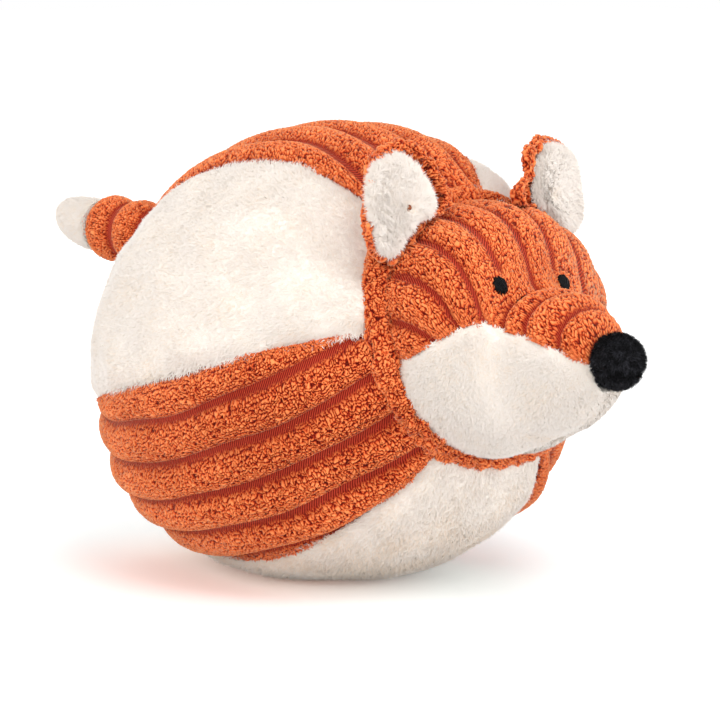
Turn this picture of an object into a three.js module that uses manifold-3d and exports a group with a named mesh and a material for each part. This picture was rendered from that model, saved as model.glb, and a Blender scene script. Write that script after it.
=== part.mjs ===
// Plush fox ball: a stuffed ball of six sewn gores with a fox head at its front and a stubby tail.
// Millimetres, +Z up. The fox looks along -Y and its left side is +X. The origin is the centre of
// the flat that the ball rests on. Every place is first worked out from the ball's centre.

import * as THREE from 'three';
import Module from 'manifold-3d';
import { mergeVertices } from 'three/addons/utils/BufferGeometryUtils.js';

const wasm = await Module();
wasm.setup();

// Driving dimensions of the ball
const ballRadius = 70;
const ballHalfLength = 78.5;
const ballPitchDegrees = 16;
const plushThickness = 3;
const seamGap = 0.3;
const stuffingGap = 0.6;
const cutGap = 0.6;
const seamPinch = 1.3;
const seamPinchReach = 3.2;

// How the ball sags on the floor
const sagLimitShare = 0.943;
const sagLimit = sagLimitShare * ballRadius;
const flatDepth = 0.7;
const restingHeight = sagLimit - flatDepth;
const sagSharpness = 40;
const bellyBulgeShare = 0.045;
const bellyBulgeStart = 20;

// Cord wales
const walePitch = 14;
const lowerWaleShift = 2;
const waleHeight = 2.7;
const waleValleyDepth = 1.3;
const waleFadeReach = 11;
const waleRoundness = 0.62;
const stepsPerWale = 4;

// Gores
const goreCount = 6;
const goreTipHalfWidth = 0.6;
const goreTwistDegrees = 6;
const goreTwistPower = 3;
const goreRows = 15;
const creamColumns = 6;
const innerColumnsPerGore = 4;
const cutterColumnsPerGore = 9;

// Neck
const neckDistanceShare = 0.7962;
const neckDistance = neckDistanceShare * ballHalfLength;
const neckBandShare = 0.057;
const neckBandTopShare = 0.043;
const neckBandFootShare = 0.026;
const neckBandSetbackShare = 0.0115;
const neckBandRadius = neckBandShare * ballRadius;
const neckBandTopRadius = neckBandTopShare * ballRadius;
const neckBandFootRadius = neckBandFootShare * ballRadius;
const neckBandSetback = neckBandSetbackShare * ballRadius;
const neckBandOffsetShare = 0.35;
const neckBandSteps = 40;
const neckBandSides = 10;

// Head, measured from the ball's centre
const headLengthShare = 0.707;
const headHalfWidthShare = 0.564;
const headHalfHeightShare = 0.533;
const headLength = headLengthShare * ballRadius;
const headHalfWidth = headHalfWidthShare * ballRadius;
const headHalfHeight = headHalfHeightShare * ballRadius;
const headDropShare = 0.0371;
const headDrop = headDropShare * ballRadius;
const crownWalePitch = 13.3;
const crownWaleHeight = 2.2;
const crownValleyShare = 0.5;
const snoutWaleHeight = 1.8;
const snoutValleyShare = 0.6;
const crownRowCount = 10;
const crownInnerColumns = 6;
const snoutRowCount = 12;
const snoutColumnCount = 8;
const cheekRowCount = 12;
const cheekColumnCount = 8;
const headStuffingGap = 2.4;
const headStuffingRows = 18;
const headStuffingColumns = 20;

// Nose
const noseRadius = 8.3;
const noseSink = 5;
const noseLift = 1.9;
const noseSteps = 9;
const noseSides = 18;

// Eyes
const eyeWidth = 5;
const eyeHeight = 5.8;
const eyeThickness = 1.1;
const eyeRightAcross = 14.6;
const eyeLeftAcross = 11.3;
const eyePressReach = 8;
const eyeSteps = 14;
const eyeRingShares = [[0.8, 0], [1, 0.4], [0.8, 0.8], [0.35, 1]];

// Ears
const earWidth = 27.7;
const earHeight = 33;
const earEdgeRadius = 1.7;
const earBulge = 1;
const earCup = 2.6;
const earLeanShare = 0.085;
const earLiningThickness = 2;
const earSeatRise = 0.55;
const earSteps = 26;

// Tail
const tailRootRadius = 10.4;
const tailRadius = 10.6;
const tailPinchRadius = 8;
const tailTipRadius = 8.4;
const tailSleeveLength = 39.6;
const tailTipLength = 20.2;
const tailWaleHeight = 1.7;
const tailPolarDegrees = 39;
const tailRiseDegrees = 3;
const tailRootSteps = 4;
const tailSleeveSteps = 12;
const tailTipSteps = 6;
const tailTipPower = 0.7;
const tipHollowShare = 0.7;
const tailSides = 18;

// Colours of the cloths
const orangeCord = new THREE.Color(0.87, 0.34, 0.13);
const creamPlush = new THREE.Color(0.93, 0.88, 0.81);
const blackPlush = new THREE.Color(0.03, 0.03, 0.035);
const stuffingWhite = new THREE.Color(0.95, 0.95, 0.93);
const clothRoughness = 0.95;

// Shared frames: the gore axis runs from the tail end to the neck
const ballPitch = THREE.MathUtils.degToRad(ballPitchDegrees);
const goreAxis = new THREE.Vector3(0, -Math.cos(ballPitch), Math.sin(ballPitch));
const goreUp = new THREE.Vector3(0, Math.sin(ballPitch), Math.cos(ballPitch));
const leftward = new THREE.Vector3(1, 0, 0);
const forward = new THREE.Vector3(0, -1, 0);
const upward = new THREE.Vector3(0, 0, 1);
const goreSpan = (2 * Math.PI) / goreCount;
const goreTwist = THREE.MathUtils.degToRad(goreTwistDegrees);

// Numbers

function clamp(value, low, high) {
  return Math.min(high, Math.max(low, value));
}

function smoothStep(value) {
  const t = clamp(value, 0, 1);
  return t * t * (3 - 2 * t);
}

function spread(count) {
  return Array.from({ length: count + 1 }, (_, index) => index / count);
}

function signedPower(value, power) {
  return Math.sign(value) * Math.abs(value) ** power;
}

// Height of a rounded wale at a distance across the cloth: 0 in the valleys, 1 on the crests
function waleProfile(across, pitch) {
  return Math.abs(Math.sin((Math.PI * across) / pitch)) ** waleRoundness;
}

// Closed meshes

function addStrip(triangles, first, second) {
  const firstShares = lengthShares(first);
  const secondShares = lengthShares(second);
  let i = 0;
  let j = 0;
  while (i < first.length - 1 || j < second.length - 1) {
    const firstNext = i < first.length - 1 ? firstShares[i + 1] : Infinity;
    const secondNext = j < second.length - 1 ? secondShares[j + 1] : Infinity;
    if (firstNext <= secondNext) {
      triangles.push(first[i + 1], first[i], second[j]);
      i += 1;
    } else {
      triangles.push(first[i], second[j], second[j + 1]);
      j += 1;
    }
  }
}

function lengthShares(points) {
  const lengths = [0];
  for (let i = 1; i < points.length; i += 1) {
    lengths.push(lengths[i - 1] + points[i].distanceTo(points[i - 1]));
  }
  const total = lengths[points.length - 1] || 1;
  return lengths.map((length) => length / total);
}

function addSheet(triangles, rows, flipped) {
  for (let i = 0; i < rows.length - 1; i += 1) {
    for (let j = 0; j < rows[i].length - 1; j += 1) {
      const a = rows[i][j];
      const b = rows[i + 1][j];
      const c = rows[i + 1][j + 1];
      const d = rows[i][j + 1];
      if (flipped) {
        triangles.push(a, c, b, a, d, c);
      } else {
        triangles.push(a, b, c, a, c, d);
      }
    }
  }
}

// A cloth panel: an outer and an inner sheet with the same rows, joined by walls on all four edges
function panelSolid(outer, inner) {
  const triangles = [];
  addSheet(triangles, outer, false);
  addSheet(triangles, inner, true);
  const last = outer.length - 1;
  const column = (rows, pick) => rows.map((row) => pick(row));
  const firstOf = (row) => row[0];
  const lastOf = (row) => row[row.length - 1];
  addStrip(triangles, column(outer, firstOf), column(inner, firstOf));
  addStrip(triangles, outer[last], inner[last]);
  addStrip(triangles, column(outer, lastOf).reverse(), column(inner, lastOf).reverse());
  addStrip(triangles, [...outer[0]].reverse(), [...inner[0]].reverse());
  return solidFromTriangles(triangles);
}

// A closed body from rings, closed at both ends by a fan about each end ring's centre
function ringSolid(rings) {
  const triangles = [];
  const closed = rings.map((ring) => [...ring, ring[0]]);
  addSheet(triangles, closed, false);
  addFan(triangles, closed[0], true);
  addFan(triangles, closed[closed.length - 1], false);
  return solidFromTriangles(triangles);
}

function addFan(triangles, ring, flipped) {
  const centre = new THREE.Vector3();
  ring.slice(1).forEach((point) => centre.add(point));
  centre.divideScalar(ring.length - 1);
  for (let j = 0; j < ring.length - 1; j += 1) {
    if (flipped) {
      triangles.push(centre, ring[j], ring[j + 1]);
    } else {
      triangles.push(centre, ring[j + 1], ring[j]);
    }
  }
}

// A ring of sections that closes on itself, such as the neck band
function hoopSolid(sections) {
  const triangles = [];
  const closed = sections.map((section) => [...section, section[0]]);
  addSheet(triangles, [...closed, closed[0]], false);
  return solidFromTriangles(triangles);
}

function solidFromTriangles(points) {
  const geometry = new THREE.BufferGeometry().setFromPoints(points);
  return facingOut(withoutSlivers(mergeVertices(geometry)));
}

function withoutSlivers(geometry) {
  const index = geometry.index.array;
  const kept = [];
  for (let i = 0; i < index.length; i += 3) {
    const [a, b, c] = [index[i], index[i + 1], index[i + 2]];
    if (a !== b && b !== c && c !== a) {
      kept.push(a, b, c);
    }
  }
  geometry.setIndex(kept);
  return geometry;
}

function facingOut(geometry) {
  const index = geometry.index.array;
  const position = geometry.attributes.position;
  const corner = (k) => new THREE.Vector3().fromBufferAttribute(position, index[k]);
  let volume = 0;
  for (let i = 0; i < index.length; i += 3) {
    volume += corner(i).dot(corner(i + 1).cross(corner(i + 2)));
  }
  if (volume < 0) {
    geometry.setIndex(Array.from(index).reverse());
  }
  return geometry;
}

// Cuts

function toManifold(geometry) {
  const triVerts = new Uint32Array(geometry.index.array);
  const vertProperties = new Float32Array(geometry.attributes.position.array);
  return new wasm.Manifold(new wasm.Mesh({ numProp: 3, vertProperties, triVerts }));
}

function fromManifold(solid) {
  const mesh = solid.getMesh();
  const geometry = new THREE.BufferGeometry();
  geometry.setAttribute('position', new THREE.BufferAttribute(mesh.vertProperties, 3));
  geometry.setIndex(new THREE.BufferAttribute(mesh.triVerts, 1));
  return geometry;
}

function cutBy(geometry, cutters) {
  let solid = toManifold(geometry);
  cutters.forEach((cutter) => {
    solid = solid.subtract(toManifold(cutter));
  });
  return fromManifold(solid);
}

// The ball

// Where stuffing settles: the belly spreads and the underside presses flat on the floor, each
// layer of cloth at its own offset from the outer surface
function settle(point, offset) {
  const depth = -point.z;
  const spreadShare = clamp((depth - bellyBulgeStart) / (ballRadius - bellyBulgeStart), 0, 1);
  const widen = 1 + bellyBulgeShare * Math.sin(Math.PI * spreadShare) ** 2;
  const settled = new THREE.Vector3(point.x * widen, point.y * widen, point.z);
  if (depth > 0) {
    const limit = sagLimit + offset;
    const squeeze = (1 + (depth / limit) ** sagSharpness) ** (-1 / sagSharpness);
    settled.z = point.z * squeeze;
  }
  return settled;
}

// The lower gores are sewn on a little turned round the ball, as the filled ball shows
function twisted(roll) {
  return roll + goreTwist * ((1 - Math.cos(roll)) / 2) ** goreTwistPower;
}

// A point of the ball at a polar angle from the neck and a roll from the top towards the left side
function ballPoint(polar, roll, offset) {
  const round = (ballRadius + offset) * Math.sin(polar);
  const point = goreAxis.clone().multiplyScalar((ballHalfLength + offset) * Math.cos(polar));
  point.addScaledVector(goreUp, round * Math.cos(twisted(roll)));
  point.addScaledVector(leftward, round * Math.sin(twisted(roll)));
  return settle(point, offset);
}

function neckPolar(offset, distance) {
  return Math.acos(distance / (ballHalfLength + offset));
}

const goreEnd = neckDistance - seamGap;

// Polar stations of a ball surface, from the neck plane to near the back pole
function polarStations(offset) {
  const start = neckPolar(offset, goreEnd);
  const tipHalfAngle = goreTipHalfWidth / ((goreSpan / 2) * ballRadius);
  const end = Math.PI - tipHalfAngle;
  return spread(goreRows).map((share) => start + (end - start) * share);
}

function halfRoll(polar, offset) {
  const round = (ballRadius + offset) * Math.sin(polar);
  return goreSpan / 2 - seamGap / 2 / round;
}

// How far the seam's stitches pull the cloth in at a distance from the seam
function pinch(distance) {
  return seamPinch * Math.exp(-((distance / seamPinchReach) ** 2));
}

function goreInner(centreRoll) {
  const offset = -plushThickness;
  return polarStations(offset).map((polar) => spread(innerColumnsPerGore).map((share) => {
    const roll = halfRoll(polar, offset) * (2 * share - 1);
    return ballPoint(polar, centreRoll + roll, offset);
  }));
}

function creamGore(centreRoll) {
  const outer = polarStations(0).map((polar) => spread(creamColumns).map((share) => {
    const limit = halfRoll(polar, 0);
    const roll = limit * Math.sin((Math.PI / 2) * (2 * share - 1));
    const distance = (limit - Math.abs(roll)) * ballRadius * Math.sin(polar);
    return ballPoint(polar, centreRoll + roll, -pinch(distance));
  }));
  return panelSolid(outer, goreInner(centreRoll));
}

// Wales run along the gore and keep their pitch, so the seams cut them off towards both ends
function cordGore(centreRoll, waleShift) {
  const step = walePitch / stepsPerWale;
  const widest = (goreSpan / 2) * ballRadius;
  const reach = Math.ceil((widest + Math.abs(waleShift)) / step);
  const columns = Array.from({ length: 2 * reach + 1 }, (_, index) => (index - reach) * step);
  const outer = polarStations(0).map((polar) => columns.map((across) => {
    const round = ballRadius * Math.sin(polar);
    const limit = halfRoll(polar, 0);
    const roll = clamp((across + waleShift) / round, -limit, limit);
    const distance = (limit - Math.abs(roll)) * round;
    const height = cordHeight(roll * round - waleShift, distance, polar);
    return ballPoint(polar, centreRoll + roll, height);
  }));
  return panelSolid(outer, goreInner(centreRoll));
}

function cordHeight(across, seamDistance, polar) {
  const neckArc = (polar - neckPolar(0, goreEnd)) * ballRadius;
  const fade = smoothStep(neckArc / waleFadeReach);
  const crest = waleProfile(across + walePitch / 2, walePitch);
  return fade * (waleHeight * crest - waleValleyDepth) - pinch(seamDistance);
}

function ballBody(offset, frontPlane, columnsPerGore) {
  const start = neckPolar(offset, frontPlane);
  const columns = goreCount * columnsPerGore;
  const rings = polarStations(offset).map((polar, row) => {
    const ringPolar = row === 0 ? start : polar;
    return spread(columns).slice(0, -1).map((share) => {
      const roll = goreSpan / 2 + 2 * Math.PI * share;
      return ballPoint(ringPolar, roll, offset);
    });
  });
  return ringSolid(rings);
}

function ballStuffing() {
  return ballBody(-plushThickness - stuffingGap, goreEnd, innerColumnsPerGore);
}

// The head

// Each station of the head after the neck: how far ahead of the neck's centre its top and its
// underside lie and how high, as shares of the head's length and half height, and its half width
// as a share of the widest
const headStationShares = [
  { top: [-0.016, 0.946], foot: [0.267, -0.947], width: 1.0 },
  { top: [0.145, 0.919], foot: [0.347, -0.92], width: 0.975 },
  { top: [0.277, 0.825], foot: [0.428, -0.877], width: 0.911 },
  { top: [0.368, 0.664], foot: [0.489, -0.851], width: 0.823 },
  { top: [0.414, 0.503], foot: [0.549, -0.819], width: 0.722 },
  { top: [0.448, 0.396], foot: [0.6, -0.786], width: 0.633 },
  { top: [0.529, 0.334], foot: [0.651, -0.752], width: 0.557 },
  { top: [0.63, 0.329], foot: [0.711, -0.711], width: 0.494 },
  { top: [0.731, 0.302], foot: [0.782, -0.663], width: 0.43 },
  { top: [0.832, 0.249], foot: [0.853, -0.596], width: 0.367 },
  { top: [0.913, 0.155], foot: [0.933, -0.508], width: 0.291 },
  { top: [0.984, 0.034], foot: [1.004, -0.408], width: 0.203 },
];
const neckWidthShare = 0.975;
const headStationCount = headStationShares.length;
const headSectionPower = 0.87;

// Angle from the top of each station, the neck's first, where orange cord meets the cream cheek
const sideSeamDegrees = [100, 97, 93, 89, 81, 70, 60, 58, 63, 69, 75, 80, 84];

// Stations, as shares of the head's last one: where the crown meets the snout at its sides and on
// its middle line, where the snout's own wales end, and where the eyes are
const creaseSideShare = 0.483;
const creaseMiddleShare = 0.575;
const snoutValleyShares = [0.55, 0.658, 0.825, 1];
const eyeRightStationShare = 0.442;
const eyeLeftStationShare = 0.4875;
const creaseSideStation = creaseSideShare * headStationCount;
const creaseMiddleStation = creaseMiddleShare * headStationCount;
const snoutValleyStations = snoutValleyShares.map((share) => share * headStationCount);
const crownLeadShare = 3;
const arcSteps = 48;
const normalStepShare = 0.01;

const neckCentre = goreAxis.clone().multiplyScalar(neckDistance).addScaledVector(goreUp, -headDrop);

function headProfile(name, side) {
  const neckPoint = neckCentre.clone().addScaledVector(goreUp, side * headHalfHeight);
  const points = headStationShares.map((station) => {
    const [along, rise] = station[name];
    const point = neckCentre.clone().addScaledVector(forward, along * headLength);
    return point.addScaledVector(upward, rise * headHalfHeight);
  });
  return new THREE.CatmullRomCurve3([neckPoint, ...points]);
}

const headTop = headProfile('top', 1);
const headFoot = headProfile('foot', -1);
const headWidthShares = [neckWidthShare, ...headStationShares.map((station) => station.width)];
const headWidths = new THREE.CatmullRomCurve3(
  headWidthShares.map((share) => leftward.clone().multiplyScalar(share * headHalfWidth)),
);
const sideSeams = new THREE.CatmullRomCurve3(
  sideSeamDegrees.map((angle) => new THREE.Vector3(THREE.MathUtils.degToRad(angle), 0, 0)),
);

function headSection(station) {
  const t = station / headStationCount;
  const top = headTop.getPoint(t);
  const foot = headFoot.getPoint(t);
  const centre = top.clone().add(foot).divideScalar(2);
  return { centre, rise: top.sub(centre), halfWidth: headWidths.getPoint(t).x };
}

// A point of the head at a station and an angle from its top towards the left side
function headPoint(station, angle, offset) {
  const { centre, rise, halfWidth } = headSection(station);
  const arm = rise.clone().multiplyScalar(signedPower(Math.cos(angle), headSectionPower));
  arm.addScaledVector(leftward, halfWidth * signedPower(Math.sin(angle), headSectionPower));
  const reach = arm.length();
  return centre.addScaledVector(arm, (reach + offset) / reach);
}

function headNormal(station, angle) {
  const step = normalStepShare;
  const along = headPoint(station + step, angle, 0).sub(headPoint(station - step, angle, 0));
  const around = headPoint(station, angle + step, 0).sub(headPoint(station, angle - step, 0));
  return around.cross(along).normalize();
}

function sideSeam(station) {
  return sideSeams.getPoint(station / headStationCount).x;
}

// Arc lengths along a section from its top down to the side seam, at equal steps of angle
function seamArcs(station) {
  const seam = sideSeam(station);
  const points = spread(arcSteps).map((share) => headPoint(station, seam * share, 0));
  const arcs = [0];
  for (let i = 1; i < points.length; i += 1) {
    arcs.push(arcs[i - 1] + points[i].distanceTo(points[i - 1]));
  }
  return arcs;
}

function angleAtArcShare(station, arcs, share) {
  const wanted = Math.abs(share) * arcs[arcSteps];
  let i = 1;
  while (i < arcSteps && arcs[i] < wanted) {
    i += 1;
  }
  const part = (wanted - arcs[i - 1]) / (arcs[i] - arcs[i - 1]);
  return Math.sign(share) * sideSeam(station) * ((i - 1 + part) / arcSteps);
}

function creaseStation(share) {
  const dip = Math.cos((Math.PI / 2) * share);
  return creaseSideStation + (creaseMiddleStation - creaseSideStation) * dip;
}

const stationLength = headLength / headStationCount;
const creaseGapStations = seamGap / 2 / stationLength;

// The crown's wales run from the neck to the crease at a steady pitch, and its side seams cut them
function crownRows(columns, rowCount, offsetAt) {
  return spread(rowCount).map((rowShare) => {
    const base = rowShare * creaseSideStation;
    const baseArc = seamArcs(base)[arcSteps];
    return columns(baseArc).map((across) => {
      const limit = 1 - seamGap / 2 / baseArc;
      const share = clamp(across / baseArc, -limit, limit);
      const lead = rowShare ** crownLeadShare * (creaseStation(share) - creaseSideStation);
      const station = base + lead - rowShare * creaseGapStations;
      const angle = angleAtArcShare(station, seamArcs(station), share);
      const seamDistance = (1 - Math.abs(share)) * baseArc;
      return headPoint(station, angle, offsetAt(share * baseArc, seamDistance, station, angle));
    });
  });
}

// The eyes are stitched by hand: the right one sits a little wider and higher than the left one
function eyePlace(side) {
  const station = headStationCount * (side < 0 ? eyeRightStationShare : eyeLeftStationShare);
  const across = side < 0 ? eyeRightAcross : eyeLeftAcross;
  const { halfWidth } = headSection(station);
  return { station, angle: side * Math.asin((across / halfWidth) ** (1 / headSectionPower)) };
}

// Embroidery presses the cord flat round an eye
function eyePress(station, angle) {
  const place = eyePlace(Math.sign(angle) || 1);
  const eye = headPoint(place.station, place.angle, 0);
  const distance = headPoint(station, angle, 0).distanceTo(eye);
  return 1 - Math.exp(-((distance / eyePressReach) ** 2));
}

function crownHeight(across, seamDistance, station, angle) {
  const fade = smoothStep((station * stationLength) / waleFadeReach);
  const crest = waleProfile(across, crownWalePitch);
  const wale = crownWaleHeight * (crest - crownValleyShare);
  return fade * eyePress(station, angle) * wale - pinch(seamDistance);
}

function headCrown() {
  const step = crownWalePitch / stepsPerWale;
  const widest = seamArcs(0)[arcSteps];
  const reach = Math.ceil(widest / step);
  const outerColumns = () => Array.from({ length: 2 * reach + 1 }, (_, i) => (i - reach) * step);
  const innerColumns = (arc) => spread(crownInnerColumns).map((share) => arc * (2 * share - 1));
  const outer = crownRows(outerColumns, crownRowCount, crownHeight);
  const inner = crownRows(innerColumns, crownRowCount, () => -plushThickness);
  return panelSolid(outer, inner);
}

// The snout's wales run across it, from side seam to side seam
function snoutHeight(station, seamDistance) {
  let i = 1;
  while (i < snoutValleyStations.length - 1 && station > snoutValleyStations[i]) {
    i += 1;
  }
  const [from, to] = [snoutValleyStations[i - 1], snoutValleyStations[i]];
  const share = clamp((station - from) / (to - from), 0, 1);
  const crest = Math.sin(Math.PI * share) ** waleRoundness;
  return snoutWaleHeight * (crest - snoutValleyShare) - pinch(seamDistance);
}

function snoutRows(columnCount, offsetAt) {
  return spread(snoutRowCount).map((rowShare) => spread(columnCount).map((columnShare) => {
    const across = 2 * columnShare - 1;
    const from = creaseStation(across) + creaseGapStations;
    const station = from + (headStationCount - from) * rowShare;
    const arcs = seamArcs(station);
    const limit = 1 - seamGap / 2 / arcs[arcSteps];
    const angle = angleAtArcShare(station, arcs, across * limit);
    const seamDistance = (1 - Math.abs(across)) * arcs[arcSteps];
    return headPoint(station, angle, offsetAt(station, seamDistance));
  }));
}

function snoutTop() {
  const outer = snoutRows(snoutColumnCount, snoutHeight);
  return panelSolid(outer, snoutRows(snoutColumnCount, () => -plushThickness));
}

// A cream cheek covers the jaw from the side seam down to the chin's seam; side is 1 for the left
function cheek(side) {
  const rows = (offsetAt) => spread(cheekRowCount).map((rowShare) => {
    const station = headStationCount * rowShare;
    const { rise } = headSection(station);
    const gapAngle = seamGap / 2 / rise.length();
    const from = sideSeam(station) + gapAngle;
    const to = Math.PI - gapAngle;
    return spread(cheekColumnCount).map((share) => {
      const angle = from + (to - from) * share;
      const seamDistance = (to - from) * Math.min(share, 1 - share) * rise.length();
      return headPoint(station, side * angle, offsetAt(seamDistance));
    });
  });
  return panelSolid(rows((distance) => -pinch(distance)), rows(() => -plushThickness));
}

function headRings(offset, columns) {
  return spread(headStuffingRows).map((rowShare) => {
    return spread(columns).slice(0, -1).map((share) => {
      return headPoint(headStationCount * rowShare, 2 * Math.PI * share, offset);
    });
  });
}

function headStuffing() {
  return ringSolid(headRings(-plushThickness - headStuffingGap, headStuffingColumns));
}

// The band is fullest at the sides and pressed thin under the ears and under the jaw
function neckBandRound(angle) {
  const end = Math.cos(angle) > 0 ? neckBandTopRadius : neckBandFootRadius;
  return THREE.MathUtils.lerp(neckBandRadius, end, Math.cos(angle) ** 2);
}

// The neck band: a cord roll round the head's seam, shaped by the ball behind and the head inside
function neckBand() {
  const sections = spread(neckBandSteps).slice(0, -1).map((share) => {
    const angle = 2 * Math.PI * share;
    const round = neckBandRound(angle);
    const middle = headPoint(0, angle, round * neckBandOffsetShare);
    middle.addScaledVector(goreAxis, -neckBandSetback);
    const outward = middle.clone().sub(neckCentre).projectOnPlane(goreAxis).normalize();
    return spread(neckBandSides).slice(0, -1).map((sideShare) => {
      const turn = 2 * Math.PI * sideShare;
      const point = middle.clone().addScaledVector(outward, round * Math.cos(turn));
      return point.addScaledVector(goreAxis, round * Math.sin(turn));
    });
  });
  const headCore = headRings(2 * cutGap, neckBandSteps);
  const behind = headCore[0].map((point) => point.clone().addScaledVector(goreAxis, -neckBandRadius));
  const headCutter = ringSolid([behind, ...headCore]);
  const ballCutter = ballBody(cutGap, neckDistance, cutterColumnsPerGore);
  return cutBy(hoopSolid(sections), [ballCutter, headCutter]);
}

// Bodies of revolution about an axis, from a profile of [distance along, radius]
function turnedSolid(base, axis, profile, sides) {
  const across = leftward.clone().projectOnPlane(axis).normalize();
  const other = axis.clone().cross(across);
  const rings = profile.map(([along, radius]) => spread(sides).slice(0, -1).map((share) => {
    const turn = 2 * Math.PI * share;
    const point = base.clone().addScaledVector(axis, along);
    point.addScaledVector(across, radius * Math.cos(turn));
    return point.addScaledVector(other, radius * Math.sin(turn));
  }));
  return ringSolid(rings);
}

// The nose is a plush ball, flat where it sits on the snout's end
function nose() {
  const end = headSection(headStationCount);
  const axis = leftward.clone().cross(end.rise).normalize();
  const seat = end.centre.clone().addScaledVector(axis, seamGap);
  const centre = noseRadius - noseSink;
  const firstTurn = Math.acos(centre / noseRadius);
  const profile = spread(noseSteps).map((share) => {
    const turn = firstTurn + (Math.PI - firstTurn) * share;
    return [centre - noseRadius * Math.cos(turn), noseRadius * Math.sin(turn)];
  });
  seat.addScaledVector(upward, noseLift);
  return turnedSolid(seat, axis, profile.slice(0, -1), noseSides);
}

// An eye is a small raised oval of satin stitch
function eye(side) {
  const { station, angle } = eyePlace(side);
  const normal = headNormal(station, angle);
  if (normal.dot(forward) < 0) {
    normal.negate();
  }
  const seat = headPoint(station, angle, 0).addScaledVector(normal, cutGap);
  const across = leftward.clone().projectOnPlane(normal).normalize();
  const tall = normal.clone().cross(across);
  const rings = eyeRingShares.map(([radiusShare, heightShare]) => {
    return spread(eyeSteps).slice(0, -1).map((share) => {
      const turn = 2 * Math.PI * share;
      const point = seat.clone().addScaledVector(normal, eyeThickness * heightShare);
      point.addScaledVector(across, (eyeWidth / 2) * radiusShare * Math.cos(turn));
      return point.addScaledVector(tall, (eyeHeight / 2) * radiusShare * Math.sin(turn));
    });
  });
  return ringSolid(rings);
}

// The ears

// Where the ear's foot stands on the crown: the stations of its two ends, as shares of the head's
// last one, and their angles from the top
const earOuterFootShare = 0.0517;
const earInnerFootShare = 0.0958;
const earOuterFootDegrees = 59;
const earInnerFootDegrees = 31;

// The outline above the foot, from the outer end of the foot round the tip to its inner end, as
// shares of the ear's width and height from the foot's middle
const earOutlineShares = [
  [0.41, -0.07], [0.5, 0.1], [0.515, 0.38], [0.455, 0.63], [0.27, 0.745],
  [0.058, 0.79], [-0.175, 0.73], [-0.39, 0.55], [-0.487, 0.38], [-0.47, 0.25],
];
const footShares = [0, 0.33, 0.67, 1];
const earCentreShares = [0.02, 0.29];
const earCupReachShare = 0.33;
const earSeatSamples = 12;

// Rings of the ear's back, as shares: of the outline, of the edge's radius and of the back's bulge
const earBackShares = [
  { reach: 0.25, edge: -1, bulge: -1 }, { reach: 0.55, edge: -1, bulge: -0.8 },
  { reach: 0.8, edge: -1, bulge: -0.4 }, { reach: 0.94, edge: -1, bulge: 0 },
  { reach: 1, edge: 0, bulge: 0 }, { reach: 0.95, edge: 0.8, bulge: 0 },
  { reach: 0.9, edge: 1, bulge: 0 }, { reach: 0.85, edge: 0.6, bulge: 0 },
];
const liningRecessShares = [0.84, 0.3];

// Rings of the lining, as shares of the outline and of the lining's thickness
const earLiningShares = [
  { reach: 0.3, depth: 0 }, { reach: 0.81, depth: 0 }, { reach: 0.815, depth: 0.6 },
  { reach: 0.74, depth: 1 }, { reach: 0.45, depth: 1 }, { reach: 0.15, depth: 0.6 },
];

function earFrame(side) {
  const crest = crownWaleHeight * (1 - crownValleyShare);
  const foot = (share) => {
    const station = THREE.MathUtils.lerp(earOuterFootShare, earInnerFootShare, share);
    const degrees = THREE.MathUtils.lerp(earOuterFootDegrees, earInnerFootDegrees, share);
    const angle = side * THREE.MathUtils.degToRad(degrees);
    return headPoint(station * headStationCount, angle, crest);
  };
  const outer = foot(0);
  const inner = foot(1);
  const chord = inner.clone().sub(outer);
  let lift = 0;
  spread(earSeatSamples).forEach((share) => {
    const onHead = foot(share);
    const along = clamp(onHead.clone().sub(outer).dot(chord) / chord.lengthSq(), 0, 1);
    const onChord = outer.clone().addScaledVector(chord, along);
    lift = Math.max(lift, onHead.z - onChord.z);
  });
  const rise = lift + earSeatRise;
  const front = chord.clone().cross(upward).normalize();
  if (front.dot(forward) < 0) {
    front.negate();
  }
  const outward = leftward.clone().multiplyScalar(side).projectOnPlane(front).normalize();
  return {
    outer: outer.addScaledVector(upward, rise),
    inner: inner.addScaledVector(upward, rise),
    front,
    outward,
  };
}

function earOutline(frame) {
  const middle = frame.outer.clone().add(frame.inner).divideScalar(2);
  const place = ([across, up]) => {
    const point = middle.clone().addScaledVector(frame.outward, across * earWidth);
    return point.addScaledVector(upward, up * earHeight);
  };
  const foot = footShares.map((share) => frame.inner.clone().lerp(frame.outer, share));
  const points = [...foot, ...earOutlineShares.map(place)];
  const curve = new THREE.CatmullRomCurve3(points, true, 'centripetal');
  return { rim: curve.getSpacedPoints(earSteps).slice(0, -1), centre: place(earCentreShares) };
}

// Rings of an ear piece from [share of the outline, distance to the front]
function earSolid(side, rows) {
  const frame = earFrame(side);
  const { rim, centre } = earOutline(frame);
  const middle = frame.outer.clone().add(frame.inner).divideScalar(2);
  const chord = frame.inner.clone().sub(frame.outer).normalize();
  const rings = rows.map(([share, depth]) => rim.map((edge) => {
    const point = centre.clone().lerp(edge, share);
    const offset = point.clone().sub(middle);
    const above = offset.clone().projectOnPlane(chord).length();
    const acrossShare = offset.dot(frame.outward) / (earWidth / 2);
    const cup = earCup * acrossShare ** 2 * smoothStep(above / (earCupReachShare * earHeight));
    return point.addScaledVector(frame.front, depth + cup - earLeanShare * above);
  }));
  return ringSolid(rings);
}

function earBack(side) {
  const round = earBackShares.map(({ reach, edge, bulge }) => {
    return [reach, edge * earEdgeRadius + bulge * earBulge];
  });
  return earSolid(side, [...round, ...liningRecessShares.map((reach) => [reach, -seamGap])]);
}

function earLining(side) {
  const rows = earLiningShares.map(({ reach, depth }) => [reach, depth * earLiningThickness]);
  return earSolid(side, rows);
}

// The tail

const tailDirection = new THREE.Vector3(
  0,
  Math.cos(THREE.MathUtils.degToRad(tailRiseDegrees)),
  Math.sin(THREE.MathUtils.degToRad(tailRiseDegrees)),
);

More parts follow.
